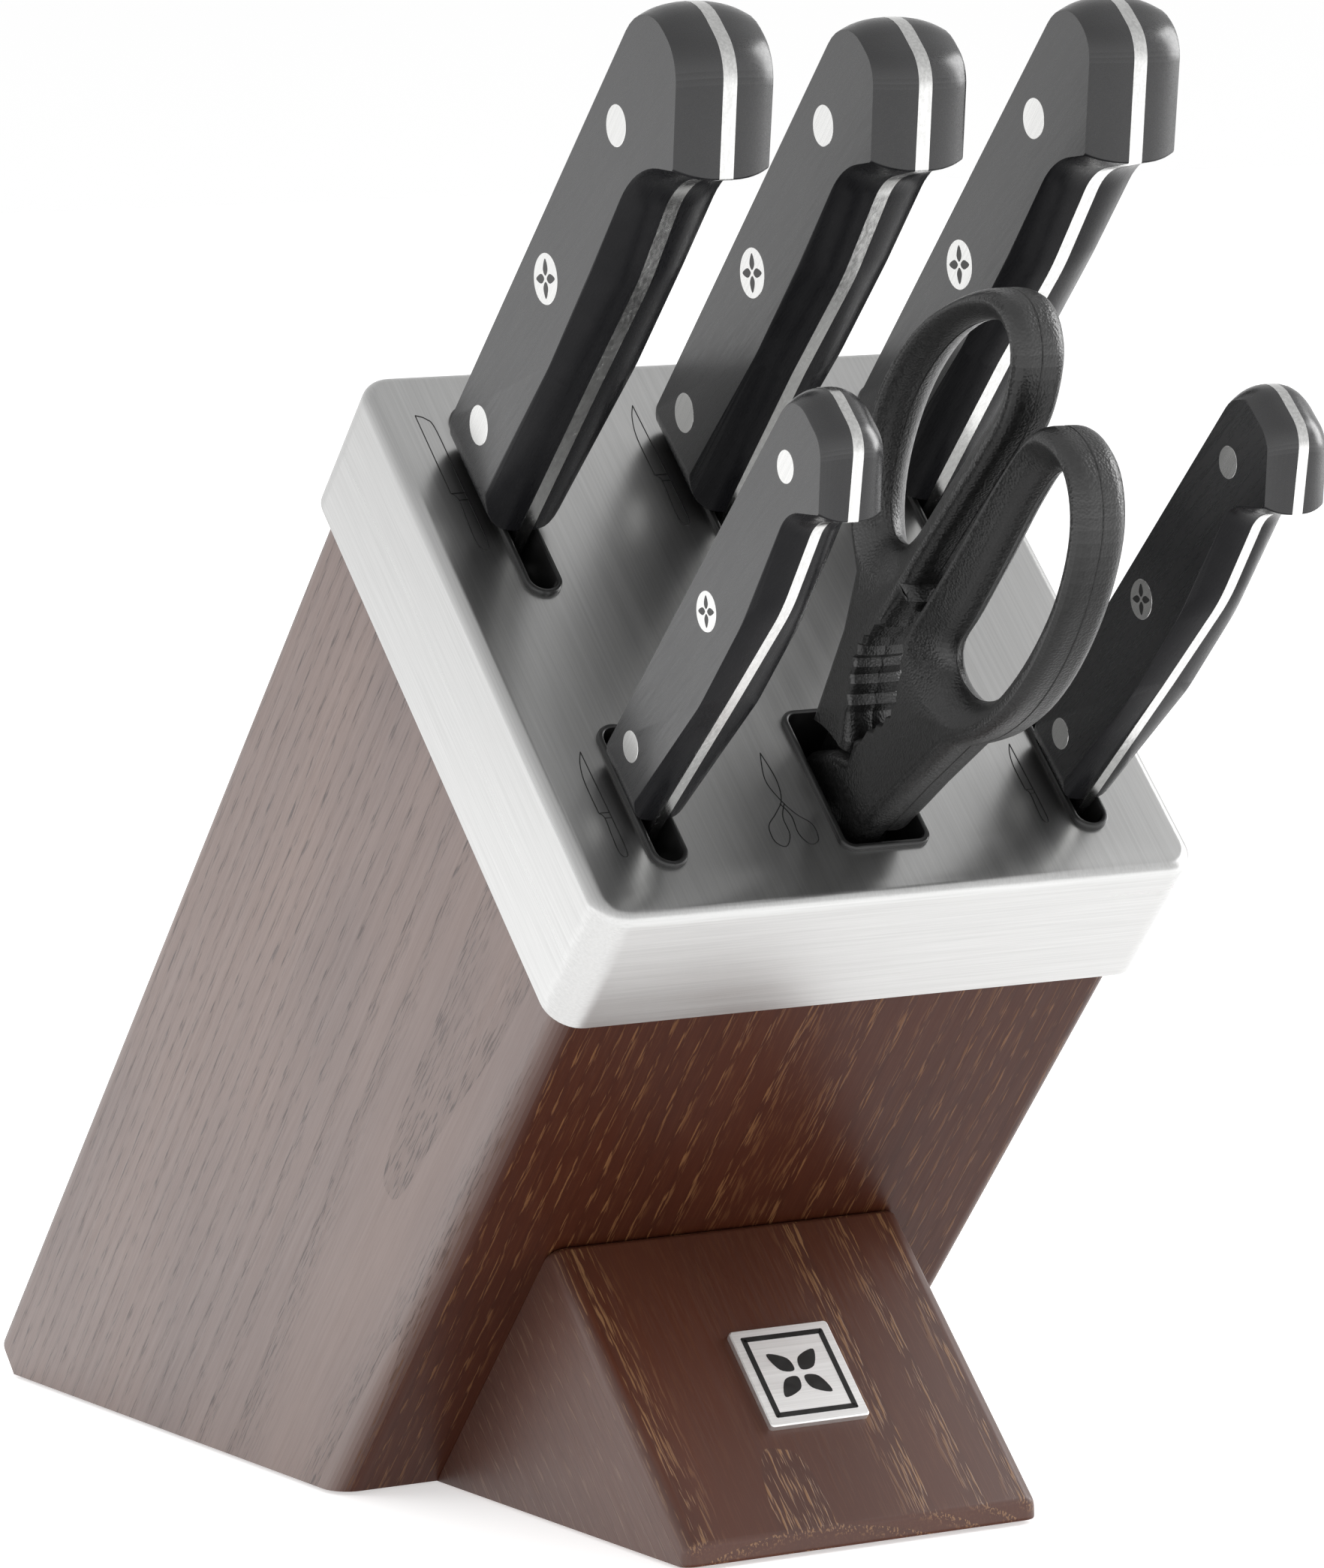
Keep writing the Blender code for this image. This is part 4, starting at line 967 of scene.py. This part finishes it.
knife("bread", LARGE_MID, LARGE_FLAT,
      [(108.6, 17.2, 4.1), (106.4, 60.2, 5.1), (104.1, 103.2, 4.1)],
      LARGE_HALF, TANG_THICKNESS, (89.5, LARGE_LENGTH, serrated_edge))
knife("carving", SHORT_MID, SHORT_FLAT,
      [(110.3, 15.7, 4.1), (108.3, 57.3, 5.1), (106.5, 99.0, 4.1)],
      LARGE_HALF, TANG_THICKNESS, (91.0, LARGE_LENGTH, slicer_edge))
knife("chef", MIDDLE_MID, MIDDLE_FLAT,
      [(110.3, 15.7, 4.1), (108.3, 57.1, 5.1), (106.7, 98.9, 4.1)],
      LARGE_HALF, TANG_THICKNESS, (83.0, LARGE_LENGTH, chef_edge))
knife("utility", SMALL_MID, SMALL_FLAT,
      [(28.0, 13.1, 3.2), (24.2, 55.6, 4.0), (20.9, 98.3, 3.2)],
      SMALL_HALF, SMALL_TANG_THICKNESS, (15.0, 138.0, slicer_edge))
knife("paring", shifted(SMALL_MID, -3.8, -1.4), shifted(SMALL_FLAT, -3.8, -1.4),
      [(23.5, 12.1, 3.2), (20.8, 54.3, 4.0), (17.2, 96.4, 3.2)],
      SMALL_HALF, SMALL_TANG_THICKNESS, (12.8, 108.0, chef_edge))
shears()

for sign_name, (drawing, corner, size) in SIGNS.items():
    etched_lines(sign_name, drawing, corner, size)

for node_name, node in frame["nodes"].items():
    if node.hide_render:
        continue
    if "stone" in node_name:
        finish = CERAMIC
    elif "pad" in node_name:
        finish = RUBBER
    elif node_name in ("base_board", "slot_core"):
        finish = CORE_WOOD
    elif node_name == "cap_frame":
        finish = LINER_BLACK
    else:
        finish = BLADE_STEEL
    node.data.materials.clear()
    node.data.materials.append(finish)


# ---------------------------------------------------------------- studio and camera
def floor():
    """Pale floor, large enough to run out to the horizon."""
    mesh = bmesh.new()
    bmesh.ops.create_grid(mesh, x_segments=2, y_segments=2, size=60.0)
    data = bpy.data.meshes.new("studio_floor")
    mesh.to_mesh(data)
    mesh.free()
    ground = bpy.data.objects.new("studio_floor", data)
    bpy.context.scene.collection.objects.link(ground)
    pale = Shading("pale_floor", (0.92, 0.92, 0.92), 0.8)
    pale.shader.inputs["Emission Color"].default_value = (1, 1, 1, 1)
    pale.shader.inputs["Emission Strength"].default_value = 0.55
    data.materials.append(pale.material)


def studio_world():
    """Bright horizon and a dimmer ceiling, which the steel's top shows as grey."""
    world = bpy.data.worlds.new("studio")
    bpy.context.scene.world = world
    world.use_nodes = True
    nodes = world.node_tree.nodes
    links = world.node_tree.links
    coordinates = nodes.new("ShaderNodeTexCoord")
    split = nodes.new("ShaderNodeSeparateXYZ")
    links.new(coordinates.outputs["Generated"], split.inputs[0])
    ramp = nodes.new("ShaderNodeValToRGB")
    elements = ramp.color_ramp.elements
    elements[0].position = 0.0
    elements[0].color = (1, 1, 1, 1)
    elements[1].position = 0.42
    elements[1].color = (0.85, 0.85, 0.85, 1)
    for place, level in ((0.62, 0.72), (0.8, 0.66), (1.0, 0.58)):
        element = elements.new(place)
        element.color = (level, level, level, 1)
    links.new(split.outputs["Z"], ramp.inputs["Fac"])
    background = nodes["Background"]
    links.new(ramp.outputs["Color"], background.inputs["Color"])
    background.inputs["Strength"].default_value = 1.0


def softbox(name, place, target, size, power, seen_in_gloss=True):
    light = bpy.data.lights.new(name, "AREA")
    light.shape = "RECTANGLE"
    light.size = size[0]
    light.size_y = size[1]
    light.energy = power
    made = bpy.data.objects.new(name, light)
    made.location = place
    made.rotation_euler = (Vector(target) - Vector(place)).to_track_quat("-Z", "Y").to_euler()
    made.visible_glossy = seen_in_gloss
    bpy.context.scene.collection.objects.link(made)


CAMERA_PLACE = (-0.64292, -1.25570, 0.27380)
CAMERA_TURN = (-0.091067, 0.034780, -0.480495)
CAMERA_LENS = 156.12


def studio_camera():
    """Long lens from the left front; turned about Z, tipped, then rolled a little."""
    tip, roll, turn = CAMERA_TURN
    pose = (Matrix.Rotation(turn, 4, "Z") @ Matrix.Rotation(tip, 4, "X")
            @ Matrix.Rotation(roll, 4, "Y"))
    data = bpy.data.cameras.new("studio_camera")
    data.lens = CAMERA_LENS
    data.sensor_width = 36.0
    data.sensor_fit = "AUTO"
    data.clip_start = 0.01
    camera = bpy.data.objects.new("studio_camera", data)
    upright = Matrix.Rotation(radians(90), 4, "X")
    camera.matrix_world = Matrix.Translation(CAMERA_PLACE) @ pose @ upright
    bpy.context.scene.collection.objects.link(camera)
    bpy.context.scene.camera = camera


floor()
studio_world()
softbox("ceiling", (0, 0, 2.6), (0, 0, 0), (3.0, 3.0), 14, seen_in_gloss=False)
softbox("left_softbox", (-1.6, 0.5, 0.8), (0, 0, 0.15), (1.2, 1.2), 8, seen_in_gloss=False)
softbox("right_softbox", (1.5, -0.3, 0.7), (0, 0, 0.15), (0.8, 1.2), 16)
studio_camera()
bpy.context.scene.view_settings.view_transform = "Standard"
